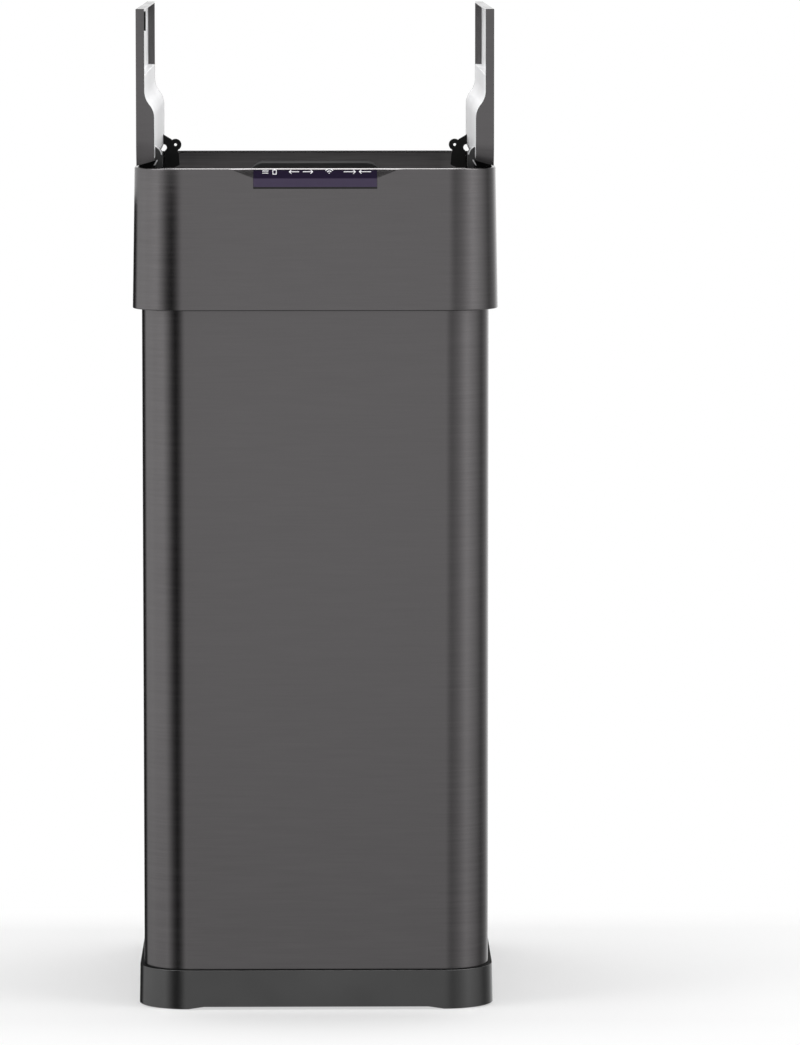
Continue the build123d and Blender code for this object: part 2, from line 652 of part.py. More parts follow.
def head_frame():
    """Moulded chassis: ring plate, throat, side ledges, front and rear housings, hinge ribs."""
    ring = slab(*head_size(RING_TOP, HEAD_SHEET + FRAME_FIT), RING_LOW, RING_TOP)
    mouth = slab(2 * THROAT_HALF_X, 2 * THROAT_HALF_Y, THROAT_CORNER, RING_LOW - SKIRT_DROP, RIM_HEIGHT)
    wall = 2 * FRAME_WALL
    tube = slab(
        2 * THROAT_HALF_X + wall, 2 * THROAT_HALF_Y + wall, THROAT_CORNER + FRAME_WALL, RING_TOP, LEDGE_LOW
    )
    over_mouth = block(
        -THROAT_HALF_X, THROAT_HALF_X, -HEAD_DEPTH, HEAD_DEPTH, RING_TOP, RIM_HEIGHT
    ) - side_profile(under_housing_line(0, RING_TOP), -HEAD_DEPTH, HEAD_DEPTH)
    tube -= over_mouth
    cover = side_profile(under_housing_line(0, RING_TOP), -HEAD_DEPTH / 2, HEAD_DEPTH / 2)
    cover -= side_profile(under_housing_line(FRAME_WALL, RING_LOW), -HEAD_DEPTH / 2, HEAD_DEPTH / 2)
    cover &= head_inner(HEAD_SHEET + FRAME_FIT, RING_TOP, RIM_HEIGHT)
    cover &= block(-THROAT_HALF_X, THROAT_HALF_X, -HEAD_DEPTH, HEAD_DEPTH, RING_TOP, RIM_HEIGHT)
    hem = HEM_THICK + FRAME_FIT
    ledges = slab(HEAD_WIDTH - 2 * hem, HEAD_DEPTH - 2 * hem, HEAD_CORNER - hem, LEDGE_LOW, LEDGE_TOP)
    ledges -= block(-THROAT_HALF_X, THROAT_HALF_X, -HEAD_DEPTH, HEAD_DEPTH, RING_TOP, RIM_HEIGHT)
    skirt_inset = BODY_SHEET + COLLAR_INSET + SKIRT_FIT
    skirt = body_slab(skirt_inset, RING_LOW - SKIRT_DROP, RING_LOW)
    skirt -= body_slab(skirt_inset + SKIRT_WALL, RING_LOW - SKIRT_DROP, RING_LOW)
    ribs = Part()
    for near in (RIB_INNER_NEAR, RIB_OUTER_NEAR):
        ribs += hinge_rib(near)
        ribs += mirror(hinge_rib(near), about=Plane.XZ)
    solid = ring + tube + cover + ledges + skirt + board_posts() - mouth
    solid -= both_sides(arm_pocket(1)) + both_sides(arm_pocket(-1))
    solid += both_sides(ribs)
    for near in (RIB_INNER_NEAR, RIB_OUTER_NEAR):
        bore = rod_y(PIVOT_X, PIVOT_Z, BUSH_RADIUS + BUSH_FIT, near, near + RIB_THICK)
        solid -= both_sides(bore + mirror(bore, about=Plane.XZ))
    bezel_half = WINDOW_WIDTH / 2 + BEZEL_MARGIN + FRAME_FIT
    solid -= block(
        -bezel_half, bezel_half, -HEAD_DEPTH, BOARD_FRONT - STANDOFF_LENGTH + FRAME_FIT,
        above(-WINDOW_BOTTOM - BEZEL_MARGIN - FRAME_FIT), RIM_HEIGHT,
    )
    return solid


def hinge_bushes(sign):
    """Four plain bushes pressed into the hinge ribs at one end of the head."""
    bushes = []
    for near in (RIB_INNER_NEAR, RIB_OUTER_NEAR):
        y_low, y_high = (near, near + RIB_THICK) if sign > 0 else (-near - RIB_THICK, -near)
        bush = rod_y(PIVOT_X, PIVOT_Z, BUSH_RADIUS, y_low, y_high)
        bush -= rod_y(PIVOT_X, PIVOT_Z, SHAFT_RADIUS + SHAFT_FIT, y_low, y_high)
        bushes += [bush, mirrored(bush)]
    return bushes


def gearmotor():
    """Left gearmotor behind the ledge, with its output socket on the hinge line."""
    face = RIB_INNER_NEAR
    back = face - GEARBOX_LENGTH
    half_w, half_h = MOTOR_WIDTH / 2, MOTOR_HEIGHT / 2
    gearbox = block(-half_w, half_w, back, face, -half_h, half_h)
    motor = rod_y(0, 0, half_w, back - MOTOR_LENGTH, back)
    motor &= block(-half_w, half_w, back - MOTOR_LENGTH, back, -half_h, half_h)
    socket = rod_y(0, 0, SHAFT_RADIUS + SHAFT_FIT, face - SHAFT_SOCKET, face)
    return Pos(PIVOT_X, 0, PIVOT_Z) * (gearbox + motor - socket)


def battery_tray():
    """Tray on the ring plate, open towards the battery door."""
    outer = block(-BATTERY_HALF_X, BATTERY_HALF_X, BATTERY_FRONT, BATTERY_BACK, BATTERY_LOW, BATTERY_HIGH)
    half = BATTERY_HALF_X - TRAY_WALL
    low, high = BATTERY_LOW + TRAY_WALL, BATTERY_HIGH - TRAY_WALL
    return outer - block(-half, half, BATTERY_FRONT + TRAY_WALL, BATTERY_BACK, low, high)


def battery_cells():
    """Four round cells, two side by side in two layers."""
    y = BATTERY_FRONT + TRAY_WALL + CELL_PITCH / 2
    cells = []
    for layer in (0, 1):
        z = BATTERY_LOW + TRAY_WALL + CELL_PITCH * (layer + 0.5)
        for start in (-CELL_LENGTH - CELL_FIT, CELL_FIT):
            cells.append(rod_x(y, z, CELL_RADIUS, start, start + CELL_LENGTH))
    return cells


def battery_contacts():
    """Sprung end plates of the cells."""
    low = BATTERY_LOW + TRAY_WALL
    high = BATTERY_HIGH - TRAY_WALL
    outer = BATTERY_HALF_X - TRAY_WALL
    y_low = BATTERY_FRONT + TRAY_WALL
    plate = block(-outer, CONTACT_THICK - outer, y_low, y_low + CELL_PITCH, low, high)
    return [plate, mirrored(plate)]


def battery_door():
    """Rear cover with a locating lip that enters the tray."""
    bottom = RIM_HEIGHT - HEAD_HEIGHT
    panel = head_prism(bottom, RIM_HEIGHT, 0) - head_prism(bottom, RIM_HEIGHT, DOOR_THICK)
    panel &= door_block(0)
    half = BATTERY_HALF_X - TRAY_WALL - DOOR_FIT
    low = BATTERY_LOW + TRAY_WALL + DOOR_FIT
    high = BATTERY_HIGH - TRAY_WALL - DOOR_FIT
    start = BATTERY_BACK - DOOR_LIP + DOOR_FIT
    wall = DOOR_LIP_WALL
    lip = block(-half, half, start, HEAD_DEPTH / 2, low, high)
    lip -= block(wall - half, half - wall, start, HEAD_DEPTH / 2, low + wall, high - wall)
    lip &= head_prism(bottom, RIM_HEIGHT, DOOR_THICK / 2)
    return panel + lip


ROCKER_X = SOCKET_CENTRE - ROCKER_OFFSET
JACK_X = SOCKET_CENTRE + ROCKER_OFFSET
ROCKER_Y = SOCKET_FACE - ROCKER_PIVOT_DEPTH


def socket_plate():
    """Rear plate with the rocker's case and the hole of the power inlet."""
    bottom = RIM_HEIGHT - HEAD_HEIGHT
    plate = head_prism(bottom, RIM_HEIGHT, 0) - head_prism(bottom, RIM_HEIGHT, SOCKET_THICK)
    plate &= socket_block(0)
    half_x = ROCKER_WIDTH / 2 + ROCKER_FIT
    half_z = ROCKER_HEIGHT / 2 + ROCKER_FIT
    back = SOCKET_FACE - CASE_DEPTH
    case_x, case_z = half_x + CASE_WALL, half_z + CASE_WALL
    front = SOCKET_FACE - SOCKET_THICK / 2
    case = Pos(ROCKER_X, 0, SOCKET_Z) * block(-case_x, case_x, back, front, -case_z, case_z)
    hollow = block(-half_x, half_x, back + CASE_WALL, HEAD_DEPTH, -half_z, half_z)
    hollow = Pos(ROCKER_X, 0, SOCKET_Z) * hollow
    reach = half_x + TRUNNION_LENGTH
    bearing = rod_x(ROCKER_Y, SOCKET_Z, TRUNNION_RADIUS + TRUNNION_FIT, ROCKER_X - reach, ROCKER_X + reach)
    jack_hole = rod_y(JACK_X, SOCKET_Z, JACK_RADIUS + SOCKET_FIT / 2, back, HEAD_DEPTH)
    return plate + case - hollow - bearing - jack_hole


def power_rocker():
    """Rocker of the power switch, tipped to one side."""
    half_z = ROCKER_HEIGHT / 2
    radius = ROCKER_PIVOT_DEPTH + ROCKER_PROUD
    disc = rod_x(ROCKER_Y, SOCKET_Z, radius, ROCKER_X - ROCKER_WIDTH / 2, ROCKER_X + ROCKER_WIDTH / 2)
    trim = block(
        ROCKER_X - ROCKER_WIDTH, ROCKER_X + ROCKER_WIDTH, ROCKER_Y - radius / 2, ROCKER_Y + radius,
        SOCKET_Z - half_z, SOCKET_Z + half_z,
    )
    dish_y = ROCKER_Y + radius - ROCKER_PROUD / 2 + ROCKER_DISH
    dish = rod_x(dish_y, SOCKET_Z, ROCKER_DISH, ROCKER_X - ROCKER_WIDTH, ROCKER_X + ROCKER_WIDTH)
    body = (disc & trim) - dish
    reach = ROCKER_WIDTH / 2 + ROCKER_FIT + TRUNNION_LENGTH - TRUNNION_FIT
    body += rod_x(ROCKER_Y, SOCKET_Z, TRUNNION_RADIUS, ROCKER_X - reach, ROCKER_X + reach)
    pivot = Pos(0, ROCKER_Y, SOCKET_Z)
    return pivot * Rot(-ROCKER_TILT, 0, 0) * pivot.inverse() * body


def dc_inlet():
    """Round power inlet with its centre pin."""
    front = SOCKET_FACE
    barrel = rod_y(JACK_X, SOCKET_Z, JACK_RADIUS, front - JACK_LENGTH, front)
    barrel -= rod_y(JACK_X, SOCKET_Z, JACK_BORE, front - JACK_LENGTH + CASE_WALL, front)
    return barrel + rod_y(JACK_X, SOCKET_Z, JACK_PIN, front - JACK_LENGTH, front - JACK_BORE)


def control_board():
    """Drive board on posts in the rear housing."""
    low = RING_TOP + BOARD_STAND
    top = low + BOARD_THICK
    half_x, half_y, half_chip = BOARD_WIDTH / 2, BOARD_DEPTH / 2, BOARD_CHIP / 2
    board = block(-half_x, half_x, -half_y, half_y, low, top)
    board += block(-half_chip, half_chip, -half_chip, half_chip, top, top + CHIP_THICK)
    board += rod_z(CAPACITOR_X, -CAPACITOR_Y, CAPACITOR_RADIUS, top, top + CAPACITOR_HEIGHT)
    return Pos(-BOARD_CENTRE, BOARD_Y, 0) * board


def wing_plan(inset):
    """Upright prism of the wing's plan outline, with the head's rounded corners."""
    clear = HEM_THICK + WING_FIT + inset
    return slab(
        HEAD_WIDTH - 2 * clear, 2 * (WING_HALF_Y - inset), HEAD_CORNER - clear,
        WING_TOP - 2 * WING_THICK, RIM_HEIGHT,
    )


def hinge_end(z, inset):
    """X of the wing's slanted hinge end at a height."""
    return left(WING_HINGE + inset + WING_SLANT * (WING_TOP - z) / WING_THICK)


def wing_face(inset_hinge, inset_free, top, low_thin, low_thick):
    """Side profile of a closed left wing between a top level and its S-shaped underside."""
    outline = [
        Line((hinge_end(top, inset_hinge), top), (-WING_GAP - inset_free, top)),
        Line((-WING_GAP - inset_free, top), (-WING_GAP - inset_free, low_thin)),
        Line((-WING_GAP - inset_free, low_thin), (STEP_NEAR_X, low_thin)),
        Line((STEP_FAR_X, low_thick), (hinge_end(low_thick, inset_hinge), low_thick)),
        Line((hinge_end(low_thick, inset_hinge), low_thick), (hinge_end(top, inset_hinge), top)),
    ]
    step = s_line((STEP_NEAR_X, low_thin), (STEP_FAR_X, low_thick))
    return make_face(outline + step.edges())


def opened(shape):
    """A closed left wing's shape swung up to the open pose."""
    pivot = Pos(PIVOT_X, 0, PIVOT_Z)
    return pivot * Rot(0, -OPEN_ANGLE, 0) * pivot.inverse() * shape


def wing_skin():
    """Brushed outer panel with skirts all round, S-shaped at the ends."""
    face = wing_face(0, 0, WING_TOP, WING_TOP - WING_THIN, WING_TOP - WING_THICK)
    envelope = side_profile(face, -HEAD_DEPTH, HEAD_DEPTH) & wing_plan(0)
    low = WING_TOP - 2 * WING_THICK
    hollow_face = make_face(Polyline(
        (hinge_end(WING_TOP - WING_SKIN, WING_SKIN), WING_TOP - WING_SKIN),
        (-WING_GAP - WING_SKIN, WING_TOP - WING_SKIN),
        (-WING_GAP - WING_SKIN, low),
        (hinge_end(low, WING_SKIN), low),
        close=True,
    ))
    hollow = side_profile(hollow_face, -HEAD_DEPTH, HEAD_DEPTH) & wing_plan(WING_SKIN)
    return opened(envelope - hollow)


def root_slot(station, root_high):
    """Slot in the tray for the root of a hinge arm, in the open pose."""
    half = ARM_THICK / 2 + FOOT_FIT
    return block(
        left(TRAY_FACE_IN - TRAY_THICK), left(TRAY_FACE_IN), station - half, station + half,
        above(ARM_ROOT_LOW - FOOT_FIT), above(root_high + FOOT_FIT),
    )


def screw_bar(station, rise, radius, from_in, to_in):
    """Round bar across the tray at a screw's place, in the open pose."""
    return rod_x(station, above(rise), radius, left(from_in), left(to_in))


def wing_tray():
    """Inner moulding that closes the hinge half of the wing, S-shaped below."""
    low_thin = WING_TOP - WING_THIN + TRAY_SUNK
    low_thick = WING_TOP - WING_THICK + TRAY_SUNK
    inset = WING_SKIN + TRAY_FIT
    top = WING_TOP - WING_SKIN
    free = HEAD_WIDTH / 2 - WING_GAP - WING_HINGE - TRAY_LENGTH
    whole = wing_face(inset, free, top, low_thin, low_thick)
    hollow = wing_face(
        inset + TRAY_THICK, free + TRAY_THICK, top, low_thin + TRAY_THICK, low_thick + TRAY_THICK
    )
    solid = side_profile(whole, -HEAD_DEPTH, HEAD_DEPTH) - side_profile(hollow, -HEAD_DEPTH, HEAD_DEPTH)
    solid = opened(solid & wing_plan(inset))
    solid -= root_slot(ARM_STATION, ARM_ROOT_HIGH) + root_slot(-ARM_STATION, IDLER_ROOT_HIGH)
    hole = SCREW_RADIUS + SCREW_FIT
    for station in (-ARM_STATION, ARM_STATION):
        for rise in SCREW_RISES:
            solid -= screw_bar(station, rise, hole, TRAY_FACE_IN - TRAY_THICK, TRAY_FACE_IN)
    return solid


def arm_foot(station):
    """Foot of a hinge arm inside the wing, with its screw holes."""
    inner = TRAY_FACE_IN - TRAY_THICK
    outer = inner - FOOT_THICK
    foot = block(
        left(outer), left(inner), station - FOOT_HALF_WIDTH, station + FOOT_HALF_WIDTH,
        above(TRAY_END_RISE + FOOT_FIT), above(TRAY_END_RISE + ARM_FOOT_LENGTH),
    )
    for rise in SCREW_RISES:
        foot -= screw_bar(station, rise, SCREW_RADIUS + SCREW_FIT, outer, inner)
    return foot


def arm_plate(face, station):
    """Hinge arm of a given outline with its bore and foot."""
    plate = side_profile(face, station - ARM_THICK / 2, station + ARM_THICK / 2)
    plate += arm_foot(station)
    return plate - rod_y(
        PIVOT_X, PIVOT_Z, SHAFT_RADIUS + SHAFT_PRESS_FIT, station - ARM_THICK, station + ARM_THICK
    )


def drive_arm():
    """Black rear gooseneck arm with a round hole through its head, in the open pose."""
    root_in = TRAY_FACE_IN - TRAY_THICK
    outline = make_face(Polyline(
        (left(root_in), above(ARM_ROOT_HIGH)),
        (left(TRAY_FACE_IN + TRAY_SUNK), above(ARM_ROOT_HIGH)),
        (left(TRAY_FACE_IN + NECK_SLOPE_REACH), above(ARM_ROOT_LOW + NECK_SLOPE_RISE)),
        (left(NECK_IN), above(NECK_RISE)),
        (left(POST_IN - POST_LEAN), above(0)),
        (left(POST_IN), above(-PIVOT_DROP - HUB_RADIUS / 2)),
        (left(POST_IN - HUB_RADIUS), above(-PIVOT_DROP - HUB_RADIUS)),
        (left(PIVOT_IN), above(-PIVOT_DROP - HUB_RADIUS)),
        (left(PIVOT_IN), above(-PIVOT_DROP + HUB_RADIUS)),
        (left(POST_LEFT_IN), above(-PIVOT_DROP + HUB_RADIUS)),
        (left(POST_LEFT_IN), above(NOTCH_RISE)),
        (left(ARM_CLEAR_IN), above(NOTCH_RISE)),
        (left(ARM_CLEAR_IN), above(ARM_ROOT_LOW)),
        (left(root_in), above(ARM_ROOT_LOW)),
        close=True,
    ))
    outline += Pos(left(PIVOT_IN), above(-PIVOT_DROP)) * Circle(HUB_RADIUS)
    outline += Pos(left(NECK_IN), above(NECK_RISE)) * Circle(NECK_RADIUS)
    outline -= Pos(left(NECK_IN), above(NECK_RISE)) * Circle(ARM_HOLE_RADIUS)
    outline -= Pos(left(ARM_CLEAR_IN), above(NOTCH_RISE)) * Circle(NOTCH_RADIUS)
    return arm_plate(outline, ARM_STATION)


def idler_arm():
    """Dark grey front arm with a quarter-round back, in the open pose."""
    root_in = TRAY_FACE_IN - TRAY_THICK
    low = -PIVOT_DROP - HUB_RADIUS
    outline = make_face(Polyline(
        (left(root_in), above(IDLER_ROOT_HIGH)),
        (left(TRAY_FACE_IN + TRAY_SUNK), above(IDLER_ROOT_HIGH)),
        (left(TRAY_FACE_IN + TRAY_SUNK + IDLER_RADIUS), above(IDLER_ROOT_HIGH - IDLER_RADIUS)),
        (left(TRAY_FACE_IN + TRAY_SUNK + IDLER_RADIUS), above(0)),
        (left(POST_LEFT_IN), above(low)),
        (left(PIVOT_IN), above(low)),
        (left(PIVOT_IN), above(-PIVOT_DROP + HUB_RADIUS)),
        (left(TRAY_FACE_IN), above(-PIVOT_DROP + HUB_RADIUS)),
        (left(TRAY_FACE_IN + IDLER_CUT_REACH), above(ARM_ROOT_LOW - IDLER_CUT_DROP)),
        (left(ARM_CLEAR_IN), above(ARM_ROOT_LOW - IDLER_CUT_DROP / 2)),
        (left(ARM_CLEAR_IN), above(ARM_ROOT_LOW)),
        (left(root_in), above(ARM_ROOT_LOW)),
        close=True,
    ))
    outline += Pos(left(PIVOT_IN), above(-PIVOT_DROP)) * Circle(HUB_RADIUS)
    centre = Pos(left(TRAY_FACE_IN + TRAY_SUNK), above(IDLER_ROOT_HIGH - IDLER_RADIUS))
    inner_half = Pos(IDLER_RADIUS, 0) * Rectangle(2 * IDLER_RADIUS, 2 * IDLER_RADIUS)
    outline += centre * (Circle(IDLER_RADIUS) & inner_half)
    return arm_plate(outline, -ARM_STATION)


def hinge_bar(start, end):
    """Round bar on the left hinge line."""
    return rod_y(PIVOT_X, PIVOT_Z, SHAFT_RADIUS, start, end)


def wing_screws():
    """Screws that hold the arms' feet to the tray, in the open pose."""
    head_face = TRAY_FACE_IN - TRAY_THICK - FOOT_THICK
    screws = []
    for station in (-ARM_STATION, ARM_STATION):
        for rise in SCREW_RISES:
            screw = screw_bar(station, rise, SCREW_RADIUS, head_face, TRAY_FACE_IN - TRAY_SUNK)
            screw += screw_bar(station, rise, SCREW_HEAD_RADIUS, head_face - SCREW_HEAD_HEIGHT, head_face)
            screws.append(screw)
    return screws


def wing_bumper():
    """Black bumper under the front skirt at the left wing's free corner."""
    end = -WING_GAP - BUMPER_OFFSET
    start = end - BUMPER_LENGTH
    low = WING_TOP - WING_THIN - BUMPER_THICK
    rear = BUMPER_WIDTH - WING_HALF_Y
    strip = block(start, end, -WING_HALF_Y, rear, low, low + BUMPER_THICK)
    leg = block(start, end, WING_SKIN - WING_HALF_Y, rear, low, WING_TOP - WING_SKIN)
    return opened(strip + leg)


def export(name, shape):
    """Write one node."""
    solids = shape if isinstance(shape, list) else [shape]
    parts = [solid for item in solids for solid in item.solids()]
    whole = parts[0] if len(parts) == 1 else Compound(children=parts)
    export_step(whole, f"parts/{name}.step")


def main():
    """Build every node."""
    os.makedirs("parts", exist_ok=True)
    nodes = {
        "base_ring": base_ring(),
        "foot_pads": foot_pads(),
        "body_shell": body_shell(),
        "floor_pan": floor_pan(),
        "floor_rivets": floor_rivets(),
        "top_collar": top_collar(),
        "head_shell": head_shell(),
        "head_frame": head_frame(),
        "console_window": console_window(),
        "console_bezel": console_bezel(),
        "sensor_board": sensor_board(),
        "ir_sensors": ir_sensors(),
        "battery_tray": battery_tray(),
        "battery_cells": battery_cells(),
        "battery_contacts": battery_contacts(),
        "battery_door": battery_door(),
        "socket_plate": socket_plate(),
        "power_rocker": power_rocker(),
        "dc_inlet": dc_inlet(),
        "control_board": control_board(),
        "rear_hinge_bushes": hinge_bushes(1),
        "front_hinge_bushes": hinge_bushes(-1),
        "left_wing_bumper": wing_bumper(),
    }
    paired = {
        "gearmotor": gearmotor(),
        "wing_skin": wing_skin(),
        "wing_tray": wing_tray(),
        "drive_arm": drive_arm(),
        "idler_arm": idler_arm(),
        "drive_shaft": hinge_bar(RIB_INNER_NEAR - SHAFT_SOCKET + SHAFT_FIT, SHAFT_END),
        "idler_pin": hinge_bar(-SHAFT_END, -RIB_INNER_NEAR),
        "wing_screws": wing_screws(),
    }
    for name, shape in paired.items():
        nodes[f"left_{name}"] = shape
        pieces = shape if isinstance(shape, list) else [shape]
        nodes[f"right_{name}"] = [mirrored(piece) for piece in pieces]
    for name, shape in nodes.items():
        export(name, shape)


main()
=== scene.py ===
"""Looks of an automatic kitchen bin with a sensor head and wing lids that stand open.

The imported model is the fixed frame. Curved skins are worked out again here as fine surfaces that
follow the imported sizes, and every surface gets a finish made from shader nodes. Metres, +Z up, the
front and the console towards -Y.
"""

from __future__ import annotations

import json
import logging
import math
from dataclasses import dataclass, field
from enum import Enum, IntEnum
from functools import reduce
from typing import Optional, Sequence, Union

import bmesh
import bpy
import numpy as np
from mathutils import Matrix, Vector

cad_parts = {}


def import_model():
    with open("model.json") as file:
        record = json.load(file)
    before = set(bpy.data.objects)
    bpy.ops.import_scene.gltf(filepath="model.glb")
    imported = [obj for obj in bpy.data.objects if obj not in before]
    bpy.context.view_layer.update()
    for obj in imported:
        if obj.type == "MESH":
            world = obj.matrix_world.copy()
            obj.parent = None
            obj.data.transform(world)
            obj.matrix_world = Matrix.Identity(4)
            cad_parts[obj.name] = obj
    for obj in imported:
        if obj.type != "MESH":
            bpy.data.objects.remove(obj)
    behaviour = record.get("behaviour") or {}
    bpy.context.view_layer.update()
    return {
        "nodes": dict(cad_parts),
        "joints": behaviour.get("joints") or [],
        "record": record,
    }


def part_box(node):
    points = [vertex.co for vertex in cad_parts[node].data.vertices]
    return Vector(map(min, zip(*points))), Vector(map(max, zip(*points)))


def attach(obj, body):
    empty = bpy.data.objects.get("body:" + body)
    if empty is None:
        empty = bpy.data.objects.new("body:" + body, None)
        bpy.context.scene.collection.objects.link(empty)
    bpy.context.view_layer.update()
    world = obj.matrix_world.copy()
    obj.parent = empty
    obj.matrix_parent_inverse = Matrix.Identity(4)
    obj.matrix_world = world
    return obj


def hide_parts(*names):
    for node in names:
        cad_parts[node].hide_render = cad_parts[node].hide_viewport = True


log = logging.getLogger("kitchen_bin")

Array = np.ndarray
Pair = tuple[float, float]
Color = tuple[float, float, float]
Opening = tuple[int, float, float, float, float]
Material = bpy.types.Material
Piece = bpy.types.Object
Socket = bpy.types.NodeSocket
Value = Union[Socket, float, Sequence[float]]

MM = 0.001
MERGE_GAP = 0.002 * MM
SHARP_ANGLE = math.radians(14.0)
AREA_WEIGHT = 100
NOISE_SPAN = (0.3, 0.7)
WHITE = (1.0, 1.0, 1.0)
STEEL_COLOR = (0.118, 0.113, 0.115)
# Painted light: how much lighter the head's inside steel is than the outside steel.
INSIDE_PAINTED_LIGHT = 1.25
BODY_CORNER = 36.7 * MM


class Side(IntEnum):
    """Side of the bin, as the sign of X."""

    LEFT = -1
    RIGHT = 1

    @property
    def label(self) -> str:
        """Word that names of pieces start with."""
        return self.name.lower()


class Face(IntEnum):
    """Front or rear of the bin, as the sign of Y."""

    FRONT = -1
    REAR = 1


class Slot(str, Enum):
    """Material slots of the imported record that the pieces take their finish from."""

    STEEL = "dark_steel"
    BASE = "base_plastic"
    BLACK = "black_plastic"
    GREY = "grey_plastic"
    FRAME = "frame_plastic"
    TRAY = "tray_plastic"
    RUBBER = "rubber"
    WINDOW = "smoked_window"
    BOARD = "circuit_board"
    LENS = "sensor_lens"
    BRIGHT = "bright_steel"
    PAN = "pan_steel"
    BRONZE = "bronze"
    CELL = "cell_jacket"
    MOTOR = "motor_case"


def shade(color: Color, factor: float) -> tuple[float, ...]:
    """A colour made darker or lighter by a factor."""
    return tuple(channel * factor for channel in color)


class NodeSheet:
    """Writes the shader nodes of one material or world."""

    def __init__(self, tree: bpy.types.NodeTree) -> None:
        """Start on an emptied node tree."""
        self.tree = tree
        self.tree.nodes.clear()

    def add(self, kind: str, *values: Value, **settings: object) -> bpy.types.Node:
        """Add a node.

        Args:
            kind: Blender's node type.
            values: Sockets to link or plain values to set, for the inputs in order.
            settings: Node properties, or inputs by name with spaces as underscores.

        Returns:
            The new node.
        """
        node = self.tree.nodes.new(kind)
        named = {key: value for key, value in settings.items() if not hasattr(node, key)}
        for key in settings.keys() - named.keys():
            setattr(node, key, settings[key])
        feeds = [*zip(node.inputs, values)]
        feeds += [(node.inputs[key.replace("_", " ")], value) for key, value in named.items()]
        for target, value in feeds:
            if isinstance(value, bpy.types.NodeSocket):
                self.tree.links.new(value, target)
            else:
                target.default_value = value
        return node

    def place(self) -> Socket:
        """Socket of the Object coordinates."""
        return self.add("ShaderNodeTexCoord").outputs["Object"]

    def axes(self) -> Sequence[Socket]:
        """Sockets of X, Y and Z in Object coordinates."""
        return tuple(self.add("ShaderNodeSeparateXYZ", self.place()).outputs)

    def math(self, operation: str, *values: Value) -> Socket:
        """Number worked out from other numbers by one of Blender's operations."""
        return self.add("ShaderNodeMath", *values, operation=operation).outputs["Value"]

    def largest(self, *values: Value) -> Socket:
        """Largest of several numbers."""
        return reduce(lambda one, other: self.math("MAXIMUM", one, other), values)

    def fit(
        self, value: Socket, source: Pair, target: Pair = (0.0, 1.0), smooth: bool = False
    ) -> Socket:
        """Map a number from one range to another and hold it at both ends.

        Args:
            value: Socket of the number.
            source: Range that it comes from.
            target: Range that it goes to.
            smooth: Ease the ends of the range.

        Returns:
            The mapped number's socket.
        """
        node = self.add(
            "ShaderNodeMapRange", interpolation_type="SMOOTHSTEP" if smooth else "LINEAR",
            Value=value, From_Min=source[0], From_Max=source[1], To_Min=target[0], To_Max=target[1],
        )
        return node.outputs["Result"]

    def noise(self, scale: float, detail: float, stretch: Color = WHITE) -> Socket:
        """Noise on Object coordinates, stretched along the axes.

        Args:
            scale: Noise scale per metre.
            detail: Octaves.
            stretch: How dense the pattern is along X, Y and Z.

        Returns:
            The noise value's socket.
        """
        mapping = self.add("ShaderNodeMapping", Vector=self.place(), Scale=stretch)
        return self.add(
            "ShaderNodeTexNoise", Vector=mapping.outputs["Vector"], Scale=scale, Detail=detail
        ).outputs["Fac"]

    def ramp(
        self, value: Socket, stops: Sequence[tuple[float, Color]], interpolation: str = "LINEAR"
    ) -> Socket:
        """Colour by a value.

        Args:
            value: Socket of the value.
            stops: Position and colour of each stop, in order.
            interpolation: How the colours run from stop to stop.

        Returns:
            The colour's socket.
        """
        node = self.add("ShaderNodeValToRGB", value)
        node.color_ramp.interpolation = interpolation
        elements = node.color_ramp.elements
        while len(elements) < len(stops):
            elements.new(1.0)
        for element, (position, color) in zip(elements, stops):
            element.position = position
            element.color = (*color, 1.0)
        return node.outputs["Color"]

    def tones(self, noise: Socket, color: Color, factors: Pair) -> Socket:
        """Colour that a noise moves between two factors of itself."""
        return self.ramp(noise, [(at, shade(color, by)) for at, by in zip(NOISE_SPAN, factors)])

    def spread(self, noise: Socket, low: float, high: float) -> Socket:
        """Number that a noise moves between two limits."""
        return self.fit(noise, NOISE_SPAN, (low, high))

    def bump(self, height: Socket, share: float, depth: float) -> Socket:
        """Normal bent by a height value, with the share of the effect and its depth in metres."""
        node = self.add("ShaderNodeBump", Height=height, Strength=share, Distance=depth)
        return node.outputs["Normal"]

    def mix(self, share: Socket, first: Value, second: Value) -> Socket:
        """Blend of two colours."""
        return self.add("ShaderNodeMixRGB", share, first, second).outputs["Color"]

    def surface(self, kind: str, *values: Value, **settings: object) -> None:
        """Add a shader as add does, and join it to the material's output."""
        shader = self.add(kind, *values, **settings)
        self.add("ShaderNodeOutputMaterial", shader.outputs[0])


class Finish:
    """A surface that writes its own shader nodes."""

    name: str

    def write(self, sheet: NodeSheet) -> None:
        """Write the material's nodes."""
        raise NotImplementedError

    def build(self) -> Material:
        """Make the material.

        Returns:
            The material.
        """
        material = bpy.data.materials.new(self.name)
        material.use_nodes = True
        self.write(NodeSheet(material.node_tree))
        return material


